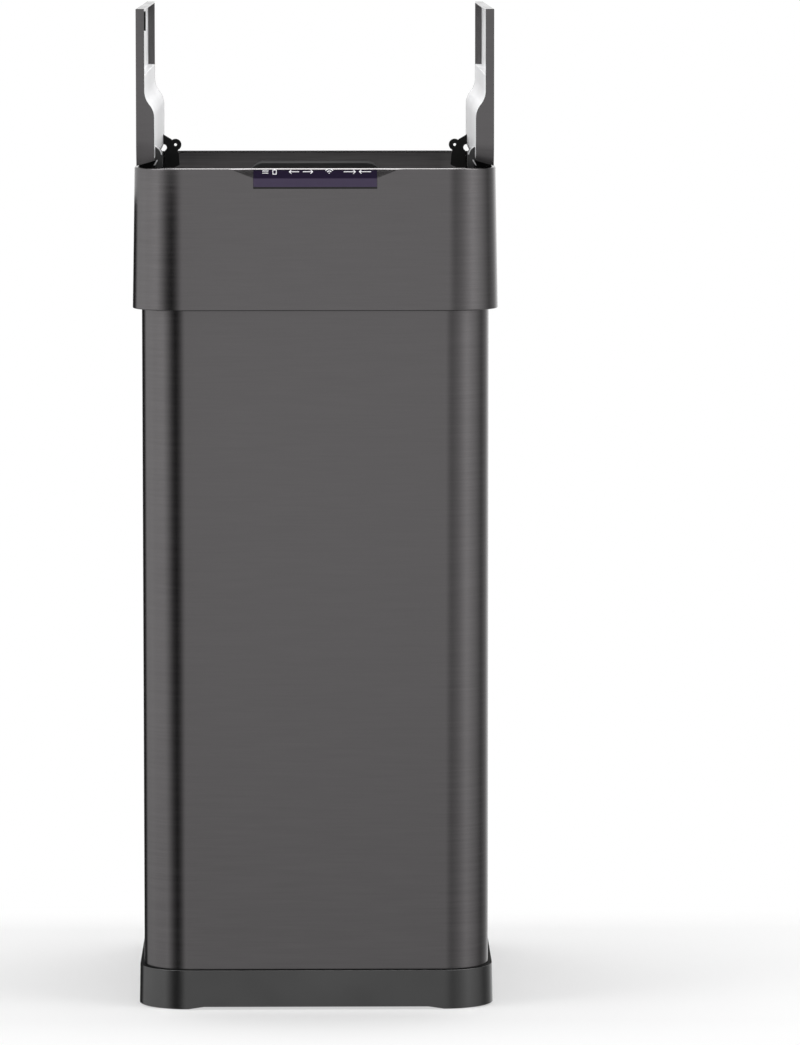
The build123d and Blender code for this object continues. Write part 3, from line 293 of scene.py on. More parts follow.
@dataclass(frozen=True)
class BrushedSteel(Finish):
    """Dark brushed sheet steel: fine level brush lines, each a little lighter, duller or deeper."""

    name: str
    color: Color
    roughness: float = 0.22
    contrast: float = 0.06
    line_pitch: float = 1.2 * MM
    line_length: float = 45 * MM
    octaves: float = 3.0
    smoother: float = 0.03
    duller: float = 0.04
    line_share: float = 0.35
    line_depth: float = 0.0012 * MM
    anisotropy: float = 0.6
    grain_turn: float = 0.25

    def write(self, sheet: NodeSheet) -> None:
        """Let one noise, drawn out level, change tone, roughness and height together.

        Args:
            sheet: The material's sheet.
        """
        along = 1.0 / self.line_length
        lines = sheet.noise(1.0, self.octaves, (along, along, 1.0 / self.line_pitch))
        tangent = sheet.add("ShaderNodeTangent", direction_type="RADIAL", axis="Z")
        sheet.surface(
            "ShaderNodeBsdfPrincipled",
            Base_Color=sheet.tones(lines, self.color, (1 - self.contrast, 1 + self.contrast)),
            Roughness=sheet.spread(
                lines, self.roughness - self.smoother, self.roughness + self.duller
            ),
            Normal=sheet.bump(lines, self.line_share, self.line_depth),
            Tangent=tangent.outputs["Tangent"],
            Metallic=1.0, Anisotropic=self.anisotropy, Anisotropic_Rotation=self.grain_turn,
        )


@dataclass(frozen=True)
class MouldedPlastic(Finish):
    """Moulded plastic with a fine grain, faint clouds and, if given, painted shade at its sides."""

    name: str
    color: Color
    roughness: float = 0.45
    grain_pitch: float = 0.6 * MM
    grain_depth: float = 0.012 * MM
    grain_share: float = 0.5
    cloud: float = 0.08
    cloud_scale: float = 18.0
    octaves: float = 2.0
    smoother: float = 0.05
    duller: float = 0.06
    metallic: float = 0.0
    specular: float = 0.5
    side_color: Optional[Color] = None
    side_start: float = 100 * MM
    side_run: float = 12 * MM

    def write(self, sheet: NodeSheet) -> None:
        """Let a fine noise make the grain and a coarse one the clouds.

        Args:
            sheet: The material's sheet.
        """
        grain = sheet.noise(1.0 / self.grain_pitch, self.octaves)
        clouds = sheet.noise(self.cloud_scale, self.octaves)
        tone = sheet.tones(clouds, self.color, (1 - self.cloud, 1 + self.cloud))
        # Painted shade: away from the middle the tone turns to the darker side colour.
        if self.side_color:
            away = sheet.math("ABSOLUTE", sheet.axes()[0])
            share = sheet.fit(away, (self.side_start, self.side_start + self.side_run))
            tone = sheet.mix(share, tone, (*self.side_color, 1.0))
        sheet.surface(
            "ShaderNodeBsdfPrincipled",
            Base_Color=tone,
            Roughness=sheet.spread(
                grain, self.roughness - self.smoother, self.roughness + self.duller
            ),
            Normal=sheet.bump(grain, self.grain_share, self.grain_depth),
            Metallic=self.metallic, Specular_IOR_Level=self.specular,
        )


@dataclass(frozen=True)
class PlainMetal(Finish):
    """Turned, plated or painted metal of the inner pieces, with faint machining marks."""

    name: str
    color: Color
    metallic: float = 1.0
    roughness: float = 0.25
    mark_scale: float = 900.0
    octaves: float = 2.0
    tone_factors: Pair = (0.9, 1.08)
    dull_factors: Pair = (0.8, 1.3)

    def write(self, sheet: NodeSheet) -> None:
        """Let one fine noise change tone and roughness.

        Args:
            sheet: The material's sheet.
        """
        marks = sheet.noise(self.mark_scale, self.octaves)
        sheet.surface(
            "ShaderNodeBsdfPrincipled",
            Base_Color=sheet.tones(marks, self.color, self.tone_factors),
            Roughness=sheet.spread(marks, *shade(self.dull_factors, self.roughness)),
            Metallic=self.metallic,
        )


@dataclass(frozen=True)
class SmokedWindow(Finish):
    """Smoked violet plastic with a black painted shadow along its lower edge, and darker painted
    shade where it bends back under the rim.
    """

    name: str = "smoked_window"
    lower: Color = (0.042, 0.029, 0.066)
    # upper: painted shade, darker where the window bends back under the rim
    upper: Color = (0.012, 0.007, 0.024)
    # painted shadow: the black band along the window's lower edge
    border: Color = (0.003, 0.003, 0.003)
    border_width: float = 1.3 * MM
    border_blur: float = 0.2
    bend: float = 684.8 * MM
    bend_blur: float = 0.05
    bottom: float = 676.6 * MM
    top: float = 691.4 * MM
    ripple_scale: float = 300.0
    ripple_octaves: float = 1.0
    roughness: Pair = (0.14, 0.2)
    specular: float = 0.3

    def write(self, sheet: NodeSheet) -> None:
        """Colour the window by height, painting the shadow at its lower edge and the shade at its
        bend, and ripple it faintly.

        Args:
            sheet: The material's sheet.
        """
        height = self.top - self.bottom
        edge, bend = self.border_width / height, (self.bend - self.bottom) / height
        # Painted shadow at the lower edge, then the window's own violet, then painted shade above
        # the bend.
        stops = (
            (edge * (1 - self.border_blur), self.border),
            (edge * (1 + self.border_blur), self.lower),
            (bend - self.bend_blur, self.lower),
            (bend + self.bend_blur, self.upper),
        )
        level = sheet.fit(sheet.axes()[2], (self.bottom, self.top))
        ripple = sheet.noise(self.ripple_scale, self.ripple_octaves)
        sheet.surface(
            "ShaderNodeBsdfPrincipled",
            Base_Color=sheet.ramp(level, stops, "EASE"),
            Roughness=sheet.spread(ripple, *self.roughness),
            Specular_IOR_Level=self.specular,
        )


@dataclass(frozen=True)
class SymbolPrint(Finish):
    """White print of the console's symbols, lit a little from behind."""

    name: str = "symbol_print"
    color: Color = (0.78, 0.78, 0.8)
    ink_scale: float = 2500.0
    octaves: float = 2.0
    tone_factors: Pair = (0.92, 1.0)
    roughness: float = 0.5
    glow: float = 0.25

    def write(self, sheet: NodeSheet) -> None:
        """Let a fine noise thin the ink.

        Args:
            sheet: The material's sheet.
        """
        ink = sheet.noise(self.ink_scale, self.octaves)
        sheet.surface(
            "ShaderNodeBsdfPrincipled",
            Base_Color=sheet.tones(ink, self.color, self.tone_factors),
            Roughness=self.roughness,
            Emission_Color=(*self.color, 1.0), Emission_Strength=self.glow,
        )


FINISHES = {
    Slot.STEEL: BrushedSteel("brushed_dark_steel", STEEL_COLOR),
    Slot.BASE: MouldedPlastic(
        "base_moulding", (0.081, 0.081, 0.081), 0.2, grain_depth=0.003 * MM, metallic=0.95
    ),
    Slot.BLACK: MouldedPlastic("black_moulding", (0.003, 0.003, 0.003), specular=0.3),
    Slot.GREY: MouldedPlastic("grey_moulding", (0.008, 0.008, 0.0085), 0.34),
    # The frame's lighter middle is painted light on the shaded hump, and its dark sides are painted
    # shade at the hinge ledges.
    Slot.FRAME: MouldedPlastic(
        "frame_moulding", (0.06, 0.06, 0.061), 0.6, specular=0.0, side_color=(0.01, 0.01, 0.01)
    ),
    Slot.TRAY: MouldedPlastic("lid_lining", (0.8, 0.8, 0.81), 0.35, cloud=0.03, specular=0.4),
    Slot.RUBBER: MouldedPlastic("rubber", (0.003, 0.003, 0.003), 0.7, 0.3 * MM, specular=0.05),
    Slot.WINDOW: SmokedWindow(),
    Slot.BOARD: MouldedPlastic("solder_mask", (0.015, 0.09, 0.035), 0.4, grain_depth=0.0),
    Slot.LENS: MouldedPlastic("sensor_lens", (0.03, 0.01, 0.04), 0.1, grain_depth=0.0),
    Slot.BRIGHT: PlainMetal("bright_steel", (0.62, 0.62, 0.62)),
    Slot.PAN: PlainMetal("pan_enamel", (0.06, 0.06, 0.06), 0.0, 0.4),
    Slot.BRONZE: PlainMetal("sintered_bronze", (0.55, 0.38, 0.18), roughness=0.45),
    Slot.CELL: PlainMetal("cell_jacket", (0.1, 0.1, 0.13), 0.3, 0.3),
    Slot.MOTOR: PlainMetal("motor_case", (0.38, 0.38, 0.39), 0.8, 0.35),
}
# Lighter copy of the dark steel for the head's inside walls: painted light on the shaded inside.
LIT_INSIDE_STEEL = BrushedSteel("brushed_inside", shade(STEEL_COLOR, INSIDE_PAINTED_LIGHT), 0.42, 0.14)


def grid_faces(rows: int, columns: int, close_rows: bool, close_columns: bool) -> Array:
    """Quads between neighbouring points of a grid.

    Args:
        rows: Points along the profile.
        columns: Points along the path.
        close_rows: Join the last row to the first.
        close_columns: Join the last column to the first.

    Returns:
        Array of four point numbers for each quad.
    """
    number = np.arange(rows * columns).reshape(rows, columns)
    if close_rows:
        number = np.vstack([number, number[:1]])
    if close_columns:
        number = np.hstack([number, number[:, :1]])
    corners = (number[:-1, :-1], number[:-1, 1:], number[1:, 1:], number[1:, :-1])
    return np.stack(corners, axis=-1)


def linked(name: str, data: bpy.types.ID) -> Piece:
    """New object in the scene.

    Args:
        name: Object name.
        data: Its mesh, lamp or camera.

    Returns:
        The object.
    """
    piece = bpy.data.objects.new(name, data)
    bpy.context.scene.collection.objects.link(piece)
    return piece


class Skin:
    """A piece built up from point grids, then merged, smoothed and dressed."""

    def __init__(self, name: str) -> None:
        """Start an empty piece."""
        self.name = name
        self.points: list[Array] = []
        self.faces: list[Array] = []
        self.paints: list[Array] = []
        self.count = 0

    def grid(
        self, points: Array, close_rows: bool = False, close_columns: bool = False,
        keep: Optional[Array] = None, paint: int = 0,
    ) -> None:
        """Add a grid of points as quads.

        Args:
            points: Array of rows, columns and three coordinates.
            close_rows: Join the last row to the first.
            close_columns: Join the last column to the first.
            keep: True for each quad that stays.
            paint: Number of the finish on these quads.
        """
        rows, columns = points.shape[:2]
        quads = grid_faces(rows, columns, close_rows, close_columns)
        chosen = quads.reshape(-1, 4) if keep is None else quads[keep]
        self.faces.append(chosen + self.count)
        self.paints.append(np.full(len(chosen), paint))
        self.points.append(points.reshape(-1, 3))
        self.count += rows * columns

    def finish(
        self, body: str, slot: Slot, materials: Sequence[Material], nodes: Sequence[str] = ()
    ) -> None:
        """Make the mesh, merge its seams, smooth it and set it on its body.

        Args:
            body: Body that the piece moves with.
            slot: Material slot of the record; not used.
            materials: Finishes of the piece, the main one first.
            nodes: Nodes that the piece stands for.
        """
        mesh = bpy.data.meshes.new(self.name)
        mesh.from_pydata(np.vstack(self.points).tolist(), [], np.vstack(self.faces).tolist())
        for material in materials:
            mesh.materials.append(material)
        mesh.polygons.foreach_set("material_index", np.concatenate(self.paints))
        shell = bmesh.new()
        shell.from_mesh(mesh)
        bmesh.ops.remove_doubles(shell, verts=shell.verts, dist=MERGE_GAP)
        bmesh.ops.dissolve_degenerate(shell, edges=shell.edges, dist=MERGE_GAP)
        bmesh.ops.recalc_face_normals(shell, faces=shell.faces)
        shell.to_mesh(mesh)
        shell.free()
        mesh.shade_smooth()
        mesh.set_sharp_from_angle(angle=SHARP_ANGLE)
        piece = linked(self.name, mesh)
        weighted = piece.modifiers.new("weighted_normals", "WEIGHTED_NORMAL")
        weighted.keep_sharp = True
        weighted.weight = AREA_WEIGHT
        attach(piece, body)
        if nodes:
            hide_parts(*nodes)
        log.info("%s: %d points on %s", self.name, len(mesh.vertices), body)


@dataclass
class RoundedPlan:
    """Rounded-rectangle outline; each column has an anchor and an outward direction.

    A point of the outline, set in by a wall, is anchor + (corner - inset) * direction.

    Attributes:
        half_x: Half of the width.
        half_y: Half of the depth.
        corner: Corner radius.
        front: Extra stops along the front.
        rear: Extra stops along the rear.
        sides: Extra stops along each side.
        arc_steps: Steps in each corner.
    """

    half_x: float
    half_y: float
    corner: float
    front: Sequence[float] = ()
    rear: Sequence[float] = ()
    sides: Sequence[float] = ()
    arc_steps: int = 28
    anchor: Array = field(init=False)
    outward: Array = field(init=False)

    def __post_init__(self) -> None:
        """Work out the columns, anticlockwise from the front's left end.

        Each side and the corner after it are laid out as if at the front, then given their quarter
        turns.
        """
        flats = (self.half_x - self.corner, self.half_y - self.corner)
        stops = (self.front, self.sides, [-stop for stop in self.rear], self.sides)
        quarters = ((1, 0), (0, 1), (-1, 0), (0, -1))
        bend = np.radians(np.linspace(0, 90, self.arc_steps + 1))[1:-1]
        anchors, outwards = [], []
        for number, (cosine, sine) in enumerate(quarters):
            flat, back = flats[number % 2], flats[1 - number % 2]
            inside = sorted(stop for stop in stops[number] if abs(stop) < flat)
            along = np.array([-flat, *inside, flat, *np.full(len(bend), flat)])
            angle = np.concatenate([np.zeros(len(inside) + 2), bend])
            turn = np.array([(cosine, sine), (-sine, cosine)], float)
            anchors.append(np.column_stack([along, np.full(len(along), -back)]) @ turn)
            outwards.append(np.column_stack([np.sin(angle), -np.cos(angle)]) @ turn)
        self.anchor, self.outward = np.vstack(anchors), np.vstack(outwards)

    def ring(self, profile: Array) -> Array:
        """Carry a profile of insets and heights round the outline.

        Args:
            profile: Rows of inset and height.

        Returns:
            Grid of points, one row for each profile row.
        """
        reach = self.corner - profile[:, 0]
        plan = self.anchor[None] + reach[:, None, None] * self.outward[None]
        height = np.broadcast_to(profile[:, 1, None, None], (*plan.shape[:2], 1))
        return np.concatenate([plan, height], axis=2)

    def spine(self, height: float) -> Array:
        """Row of points on the middle line at a height, which closes a flat plate."""
        return (self.anchor[:, :1] * (1, 0, 0) + (0, 0, height))[None]


def arc(centre: Pair, radius: float, start: float, end: float, steps: int) -> Array:
    """Points on an arc between two angles in degrees: centre + radius * (cos, sin)."""
    turn = np.radians(np.linspace(start, end, steps))
    return np.array(centre) + radius * np.stack([np.cos(turn), np.sin(turn)], axis=1)


def revolve(section: Array, centre: Pair, steps: int) -> Array:
    """Turn a section about an upright axis: centre + radius * (cos, sin), at its heights.

    Args:
        section: Rows of radius and height.
        centre: Plan position of the axis.
        steps: Columns in the full turn.

    Returns:
        Grid of points.
    """
    turn = np.linspace(0, 2 * math.pi, steps, endpoint=False)
    spokes = np.stack([np.cos(turn), np.sin(turn), 0 * turn], axis=1)
    return (*centre, 0) + section[:, :1, None] * spokes + section[:, 1:, None] * (0, 0, 1)


@dataclass
class BodySleeve:
    """Sheet-steel sleeve of the bin, open at both ends."""

    corner: float = BODY_CORNER
    sheet: float = 0.8 * MM

    def build(self, material: Material) -> None:
        """Carry the sheet's section round the body's outline.

        Args:
            material: Finish of the sleeve.
        """
        low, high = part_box("body_shell")
        plan = RoundedPlan(high.x, high.y, self.corner)
        section = [(self.sheet, low.z), (self.sheet, high.z), (0, high.z), (0, low.z)]
        skin = Skin("body_sleeve")
        skin.grid(plan.ring(np.array(section)), close_rows=True, close_columns=True)
        skin.finish("can", Slot.STEEL, [material], ["body_shell"])


@dataclass
class SealStrip:
    """Thin black strip in the corner between the sleeve and the base's top edge: a painted shadow
    line.
    """

    corner: float = BODY_CORNER
    width: float = 3.4 * MM
    height: float = 0.6 * MM
    sunk: float = 0.1 * MM
    lap: float = 0.05 * MM
    round_steps: int = 9

    def build(self, material: Material) -> None:
        """Carry a quarter-round section round the sleeve, on the base's top edge.

        Args:
            material: Finish of the strip.
        """
        _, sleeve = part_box("body_shell")
        _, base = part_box("base_ring")
        plan = RoundedPlan(sleeve.x, sleeve.y, self.corner)
        foot = (self.sunk, base.z - self.lap)
        quarter = arc((0.0, 0.0), 1.0, 90, 180, self.round_steps)
        section = np.vstack([quarter * (self.width, self.height) + foot, foot])
        # Black strip that paints the shadow line at the seam.
        skin = Skin("seal_strip")
        skin.grid(plan.ring(section), close_rows=True, close_columns=True)
        skin.finish("can", Slot.RUBBER, [material])


@dataclass
class BaseMoulding:
    """Moulded base: flared wall with a soft top edge, floor plate, corner feet and pad posts."""

    corner: float = 40.8 * MM
    flare: float = 0.6 * MM
    wall: float = 3.0 * MM
    lip: float = 3.0 * MM
    edge: float = 0.3 * MM
    edge_steps: int = 10
    shelf: float = 18.0 * MM
    plate: float = 3.0 * MM
    foot_step: float = 2.5 * MM
    foot_length: float = 41.0 * MM
    foot_ramp: float = 13.0 * MM
    foot_rows: tuple[int, int] = (2, 3)
    post_wall: float = 3.0 * MM
    pad_radius: float = 12.0 * MM
    pad_fit: float = 0.1 * MM
    pad_sunk: float = 1.4 * MM
    pad_steps: int = 48

    def relief(self, plan: Array, half: float, axis: int) -> Array:
        """Height of the recess between two feet: a trapezoid along X (0) or Y (1)."""
        rise = (half - self.foot_length - np.abs(plan[..., axis])) / self.foot_ramp
        return self.foot_step * np.clip(rise, 0, 1)

    def stops(self, half: float) -> list[float]:
        """Where the feet's ramps start and end along one side."""
        runs = (half - self.foot_length, half - self.foot_length - self.foot_ramp)
        return [sign * run for sign in (-1, 1) for run in runs]

    def build(self, material: Material) -> None:
        """Carry the wall's section round the base and close it with the floor plate.

        Args:
            material: Finish of the base.
        """
        low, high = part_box("base_ring")
        ends = self.stops(high.x)
        plan = RoundedPlan(high.x, high.y, self.corner, ends, ends, self.stops(high.y))
        under, lip = self.shelf - self.plate, self.flare + self.lip
        top = (self.flare + self.edge, high.z - self.edge)
        points = plan.ring(np.vstack([
            (self.wall + self.edge, under), (self.wall, under - self.edge), (self.wall, low.z),
            (0, low.z), (0, low.z + self.foot_step + self.edge),
            arc(top, self.edge, 180, 90, self.edge_steps), (lip, high.z), (lip, self.shelf),
        ]))
        lower = points[self.foot_rows, ...]
        recess = np.maximum(self.relief(lower, high.x, 0), self.relief(lower, high.y, 1))
        points[self.foot_rows, ..., 2] = np.maximum(lower[..., 2], recess)
        skin = Skin("base_moulding")
        closed = np.concatenate([plan.spine(under), points, plan.spine(self.shelf)])
        skin.grid(closed, close_columns=True)
        _, pad_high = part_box("foot_pads")
        bore, post = self.pad_radius + self.pad_fit, self.pad_radius + self.post_wall
        seat = low.z + self.pad_sunk
        section = np.array([(post, under), (post, low.z), (bore, low.z), (bore, seat), (0, seat)])
        for side in Side:
            for face in Face:
                centre = (
                    side * (pad_high.x - self.pad_radius), face * (pad_high.y - self.pad_radius)
                )
                skin.grid(revolve(section, centre, self.pad_steps), close_columns=True)
        skin.finish("can", Slot.BASE, [material], ["base_ring"])


@dataclass
class HeadSkin:
    """Flared sheet-steel skin of the head: rolled rim, scoop at the console, three cut-outs."""

    corner: float = 40.0 * MM
    flare: float = 2.0 * MM
    sheet: float = 1.0 * MM
    hem: float = 3.0 * MM
    hem_drop: float = 1.5 * MM
    rim_round: float = 1.1 * MM
    rim_steps: int = 10
    foot_round: float = 0.8 * MM
    foot_steps: int = 8
    scoop_dip: float = 8.0 * MM
    scoop_depth: float = 3.0 * MM
    scoop_runout: float = 20.5 * MM
    scoop_rows: int = 17
    window_gap: float = 0.2 * MM
    door_gap: float = 0.4 * MM
    step: float = 1.25 * MM
    near: float = 0.001 * MM

    def cutouts(self) -> list[Opening]:
        """Find the openings for the window, the battery door and the socket plate.

        Returns:
            Face, X limits and heights of each opening.
        """
        found = []
        for node, face, gap in (
            ("console_window", Face.FRONT, self.window_gap),
            ("battery_door", Face.REAR, self.door_gap),
            ("socket_plate", Face.REAR, self.window_gap),
        ):
            low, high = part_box(node)
            found.append((face, low.x - gap, high.x + gap, low.z - gap, high.z + gap))
        return found

    def scooped(self, points: Array, rim: float, half_window: float) -> Array:
        """Push the front back into the scoop.

        The depth grows in a straight line from the scoop's lower edge to the rim, and falls off
        beside the window over the run-out.

        Args:
            points: Grid of the skin.
            rim: Height of the rim.
            half_window: Half of the window's width.

        Returns:
            The changed grid.
        """
        x, y, z = points[..., 0], points[..., 1], points[..., 2]
        rise = self.scoop_depth * (z - rim + self.scoop_dip) / self.scoop_dip
        fall = self.scoop_depth * np.clip(np.abs(x) - half_window, 0, None) / self.scoop_runout
        points[..., 1] = y + np.clip(rise - fall, 0, None) * (y < 0)
        return points

    def build(self, materials: Sequence[Material]) -> None:
        """Carry the hemmed section round the head, scoop the front and leave the openings.

        Args:
            materials: Finishes of the outside and of the inside; the inside one is lighter as
                painted light.
        """
        low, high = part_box("head_shell")
        _, window_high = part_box("console_window")
        rim, cuts = high.z, self.cutouts()
        reach = window_high.x + self.scoop_runout + 2 * self.step
        front = np.arange(-reach, reach + self.step / 2, self.step).tolist()
        front += [limit for cut in cuts if cut[0] == Face.FRONT for limit in cut[1:3]]
        rear = [limit for cut in cuts if cut[0] == Face.REAR for limit in cut[1:3]]
        top = rim - self.rim_round
        heights = {limit for cut in cuts for limit in cut[3:]}
        heights |= set(np.linspace(rim - self.scoop_dip, top, self.scoop_rows).tolist())
        levels = np.array(sorted(height for height in heights if low.z < height < top))
        slope = self.flare / (rim - low.z)
        hem_z = rim - self.hem_drop
        inner_z = np.minimum([low.z, *levels, hem_z], hem_z)
        inner = np.column_stack([self.sheet - slope * (rim - inner_z), inner_z])
        hem = [(self.hem, hem_z), (self.hem, rim)]
        bead = arc((self.rim_round, top), self.rim_round, 90, 180, self.rim_steps)
        outer = np.column_stack([-slope * (rim - levels), levels])[::-1]
        foot_centre = (self.foot_round - self.flare, low.z + self.foot_round)
        foot = arc(foot_centre, self.foot_round, 180, 270, self.foot_steps)
        plan = RoundedPlan(high.x - self.flare, high.y - self.flare, self.corner, front, rear)
        section = np.vstack([inner, hem, bead, outer, foot])
        points = self.scooped(plan.ring(section), rim, window_high.x)
        keep = self.kept(points, cuts)
        inside = np.zeros_like(keep)
        inside[: len(inner)] = True
        skin = Skin("head_skin")
        skin.grid(points, True, True, keep & ~inside)
        skin.grid(points, True, True, keep & inside, paint=1)
        self.line_cutouts(skin, points, cuts, levels)
        skin.finish("head", Slot.STEEL, materials, ["head_shell"])

    @staticmethod
    def kept(points: Array, cuts: Sequence[Opening]) -> Array:
        """Which quads of the skin have their middle outside every cut-out.

        Args:
            points: Grid of the skin.
            cuts: Face, X limits and heights of each opening.

        Returns:
            True for each quad that stays.
        """
        pairs = points + np.roll(points, -1, 0)
        x, y, z = np.moveaxis((pairs + np.roll(pairs, -1, 1)) / 4, -1, 0)
        keep = np.ones(x.shape, bool)
        for face, x0, x1, z0, z1 in cuts:
            keep &= ~((np.sign(y) == face) & (x > x0) & (x < x1) & (z > z0) & (z < z1))
        return keep

    def line_cutouts(
        self, skin: Skin, points: Array, cuts: Sequence[Opening], levels: Array
    ) -> None:
        """Close the sheet's edge round each opening.

        The inner wall's rows start with its bottom and the outer wall's rows end with the rounded
        foot, so each level has one row on either wall.

        Args:
            skin: Piece to add to.
            points: Grid of the skin.
            cuts: Face, X limits and heights of each opening.
            levels: Heights of the walls' rows above the bottom.
        """
        x, y = points[0, :, 0], points[0, :, 1]
        for face, x0, x1, z0, z1 in cuts:
            across = (x > x0 - self.near) & (x < x1 + self.near)
            columns = np.where((np.sign(y) == face) & across)[0]
            picked = np.where((levels > z0 - self.near) & (levels < z1 + self.near))[0]
            walls = []
            for rows in (1 + picked, len(points) - 1 - self.foot_steps - picked):
                patch = points[rows][:, columns]
                loop = [patch[0, :-1], patch[:-1, -1], patch[-1, :0:-1], patch[:0:-1, 0]]
                walls.append(np.vstack(loop))
            skin.grid(np.stack(walls), close_columns=True)


@dataclass
class ConsoleSymbols:
    """Small raised symbols on the window: battery, opening arrows, sensor waves, closing arrows.

    Attributes:
        shape: Skin whose scoop the window follows.
    """

    shape: HeadSkin
    height: float = 690.2 * MM
    lift: float = 0.08 * MM
    sunk: float = 0.2 * MM
    line: float = 0.55 * MM
    sharpest: float = 0.5
    battery_x: float = -33.0 * MM
    battery: Sequence[Pair] = ((-1.4, -1.9), (1.4, -1.9), (1.4, 1.4), (-1.4, 1.4))
    battery_cap: Sequence[Pair] = ((-0.6, 1.9), (0.6, 1.9))
    bars_x: float = -40.5 * MM
    bar_half: float = 2.4
    bar_rises: Sequence[float] = (-1.2, 0.0, 1.2)
    bar_line: float = 0.4 * MM
    open_x: float = -11.5 * MM
    open_tip: float = 9.5 * MM
    open_run: float = 8.0 * MM
    close_x: float = 34.3 * MM
    close_tip: float = 1.6 * MM
    close_run: float = 9.5 * MM
    arrow_head: float = 1.7 * MM
    arrow_rise: float = 1.5 * MM
    shaft_start: float = 0.3
    waves_x: float = 11.4 * MM
    wave_drop: float = 1.6 * MM
    wave_radii: Sequence[float] = (0.5 * MM, 2.2 * MM, 3.9 * MM)
    wave_turn: Pair = (140, 40)
    wave_steps: int = 13
    wave_line: float = 0.7 * MM

    def on_surface(self, x: Array, z: Array, lift: Array) -> Array:
        """Set flat symbol points on the bent window.

        Args:
            x: Places across the window.
            z: Heights.
            lift: Height above the window.

        Returns:
            Points in space.
        """
        low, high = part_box("head_shell")
        _, window_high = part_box("console_window")
        flare = self.shape.flare * (high.z - z) / (high.z - low.z)
        y = -(high.y - self.shape.flare + flare)
        points = self.shape.scooped(np.stack([x, y, z], axis=-1), high.z, window_high.x)
        points[..., 1] -= lift
        return points

    def stroke(
        self, skin: Skin, path: Array, closed: bool = False, width: Optional[float] = None
    ) -> None:
        """Carry a flat rectangular section along a path on the window.

        Each path point is moved to both sides along the bisector of its two neighbours.

        Args:
            skin: Piece to add to.
            path: Places across the window and heights.
            closed: Join the end to the start.
            width: Width of the line, if it isn't the usual one.
        """
        half = (width or self.line) / 2
        ahead = np.roll(path, -1, 0) - path
        behind = path - np.roll(path, 1, 0)
        if not closed:
            ahead[-1], behind[0] = behind[-1], ahead[0]
        ahead /= np.linalg.norm(ahead, axis=1, keepdims=True)
        behind /= np.linalg.norm(behind, axis=1, keepdims=True)
        bisector = ahead + behind
        bisector /= np.linalg.norm(bisector, axis=1, keepdims=True)
        reach = half / np.clip(np.sum(bisector * ahead, axis=1), self.sharpest, None)
        side = np.stack([-bisector[:, 1], bisector[:, 0]], axis=1) * reach[:, None]
        offsets = np.array([(-1, -self.sunk), (-1, self.lift), (1, self.lift), (1, -self.sunk)])
        flat = path[None] + offsets[:, 0, None, None] * side[None]
        lift = np.broadcast_to(offsets[:, 1, None], flat.shape[:2])
        points = self.on_surface(flat[..., 0], flat[..., 1], lift)
        skin.grid(points, close_rows=True, close_columns=closed)
        if not closed:
            for end in (points[:, 0], points[:, -1]):
                skin.grid(end[[0, 1, 3, 2]].reshape(2, 2, 3))

    def path(self, x: float, points: Sequence[Pair]) -> Array:
        """Path from points in millimetres about a symbol's place."""
        return np.array(points) * MM + (x, self.height)

    def arrow(self, skin: Skin, tip: float, run: float) -> None:
        """Open arrow head with a shaft.

        Args:
            skin: Piece to add to.
            tip: Place of the tip.
            run: Length of the arrow, negative for an arrow that points left.
        """
        z, rise = self.height, self.arrow_rise
        head = math.copysign(self.arrow_head, run)
        self.stroke(skin, np.array([(tip - head, z + rise), (tip, z), (tip - head, z - rise)]))
        self.stroke(skin, np.array([(tip - head * self.shaft_start, z), (tip - run, z)]))

    def build(self, material: Material) -> None:
        """Make the symbols as one piece.

        Args:
            material: Finish of the print.
        """
        skin = Skin("console_symbols")
        self.stroke(skin, self.path(self.battery_x, self.battery), closed=True)
        self.stroke(skin, self.path(self.battery_x, self.battery_cap))
        for rise in self.bar_rises:
            bar = self.path(self.bars_x, ((-self.bar_half, rise), (self.bar_half, rise)))
            self.stroke(skin, bar, width=self.bar_line)
        for sign in (-1, 1):
            self.arrow(skin, self.open_x + sign * self.open_tip, sign * self.open_run)
            self.arrow(skin, self.close_x + sign * self.close_tip, -sign * self.close_run)
        for radius in self.wave_radii:
            centre = (self.waves_x, self.height - self.wave_drop)
            wave = arc(centre, radius, *self.wave_turn, self.wave_steps)
            self.stroke(skin, wave, width=self.wave_line)
        skin.finish("head", Slot.WINDOW, [material])


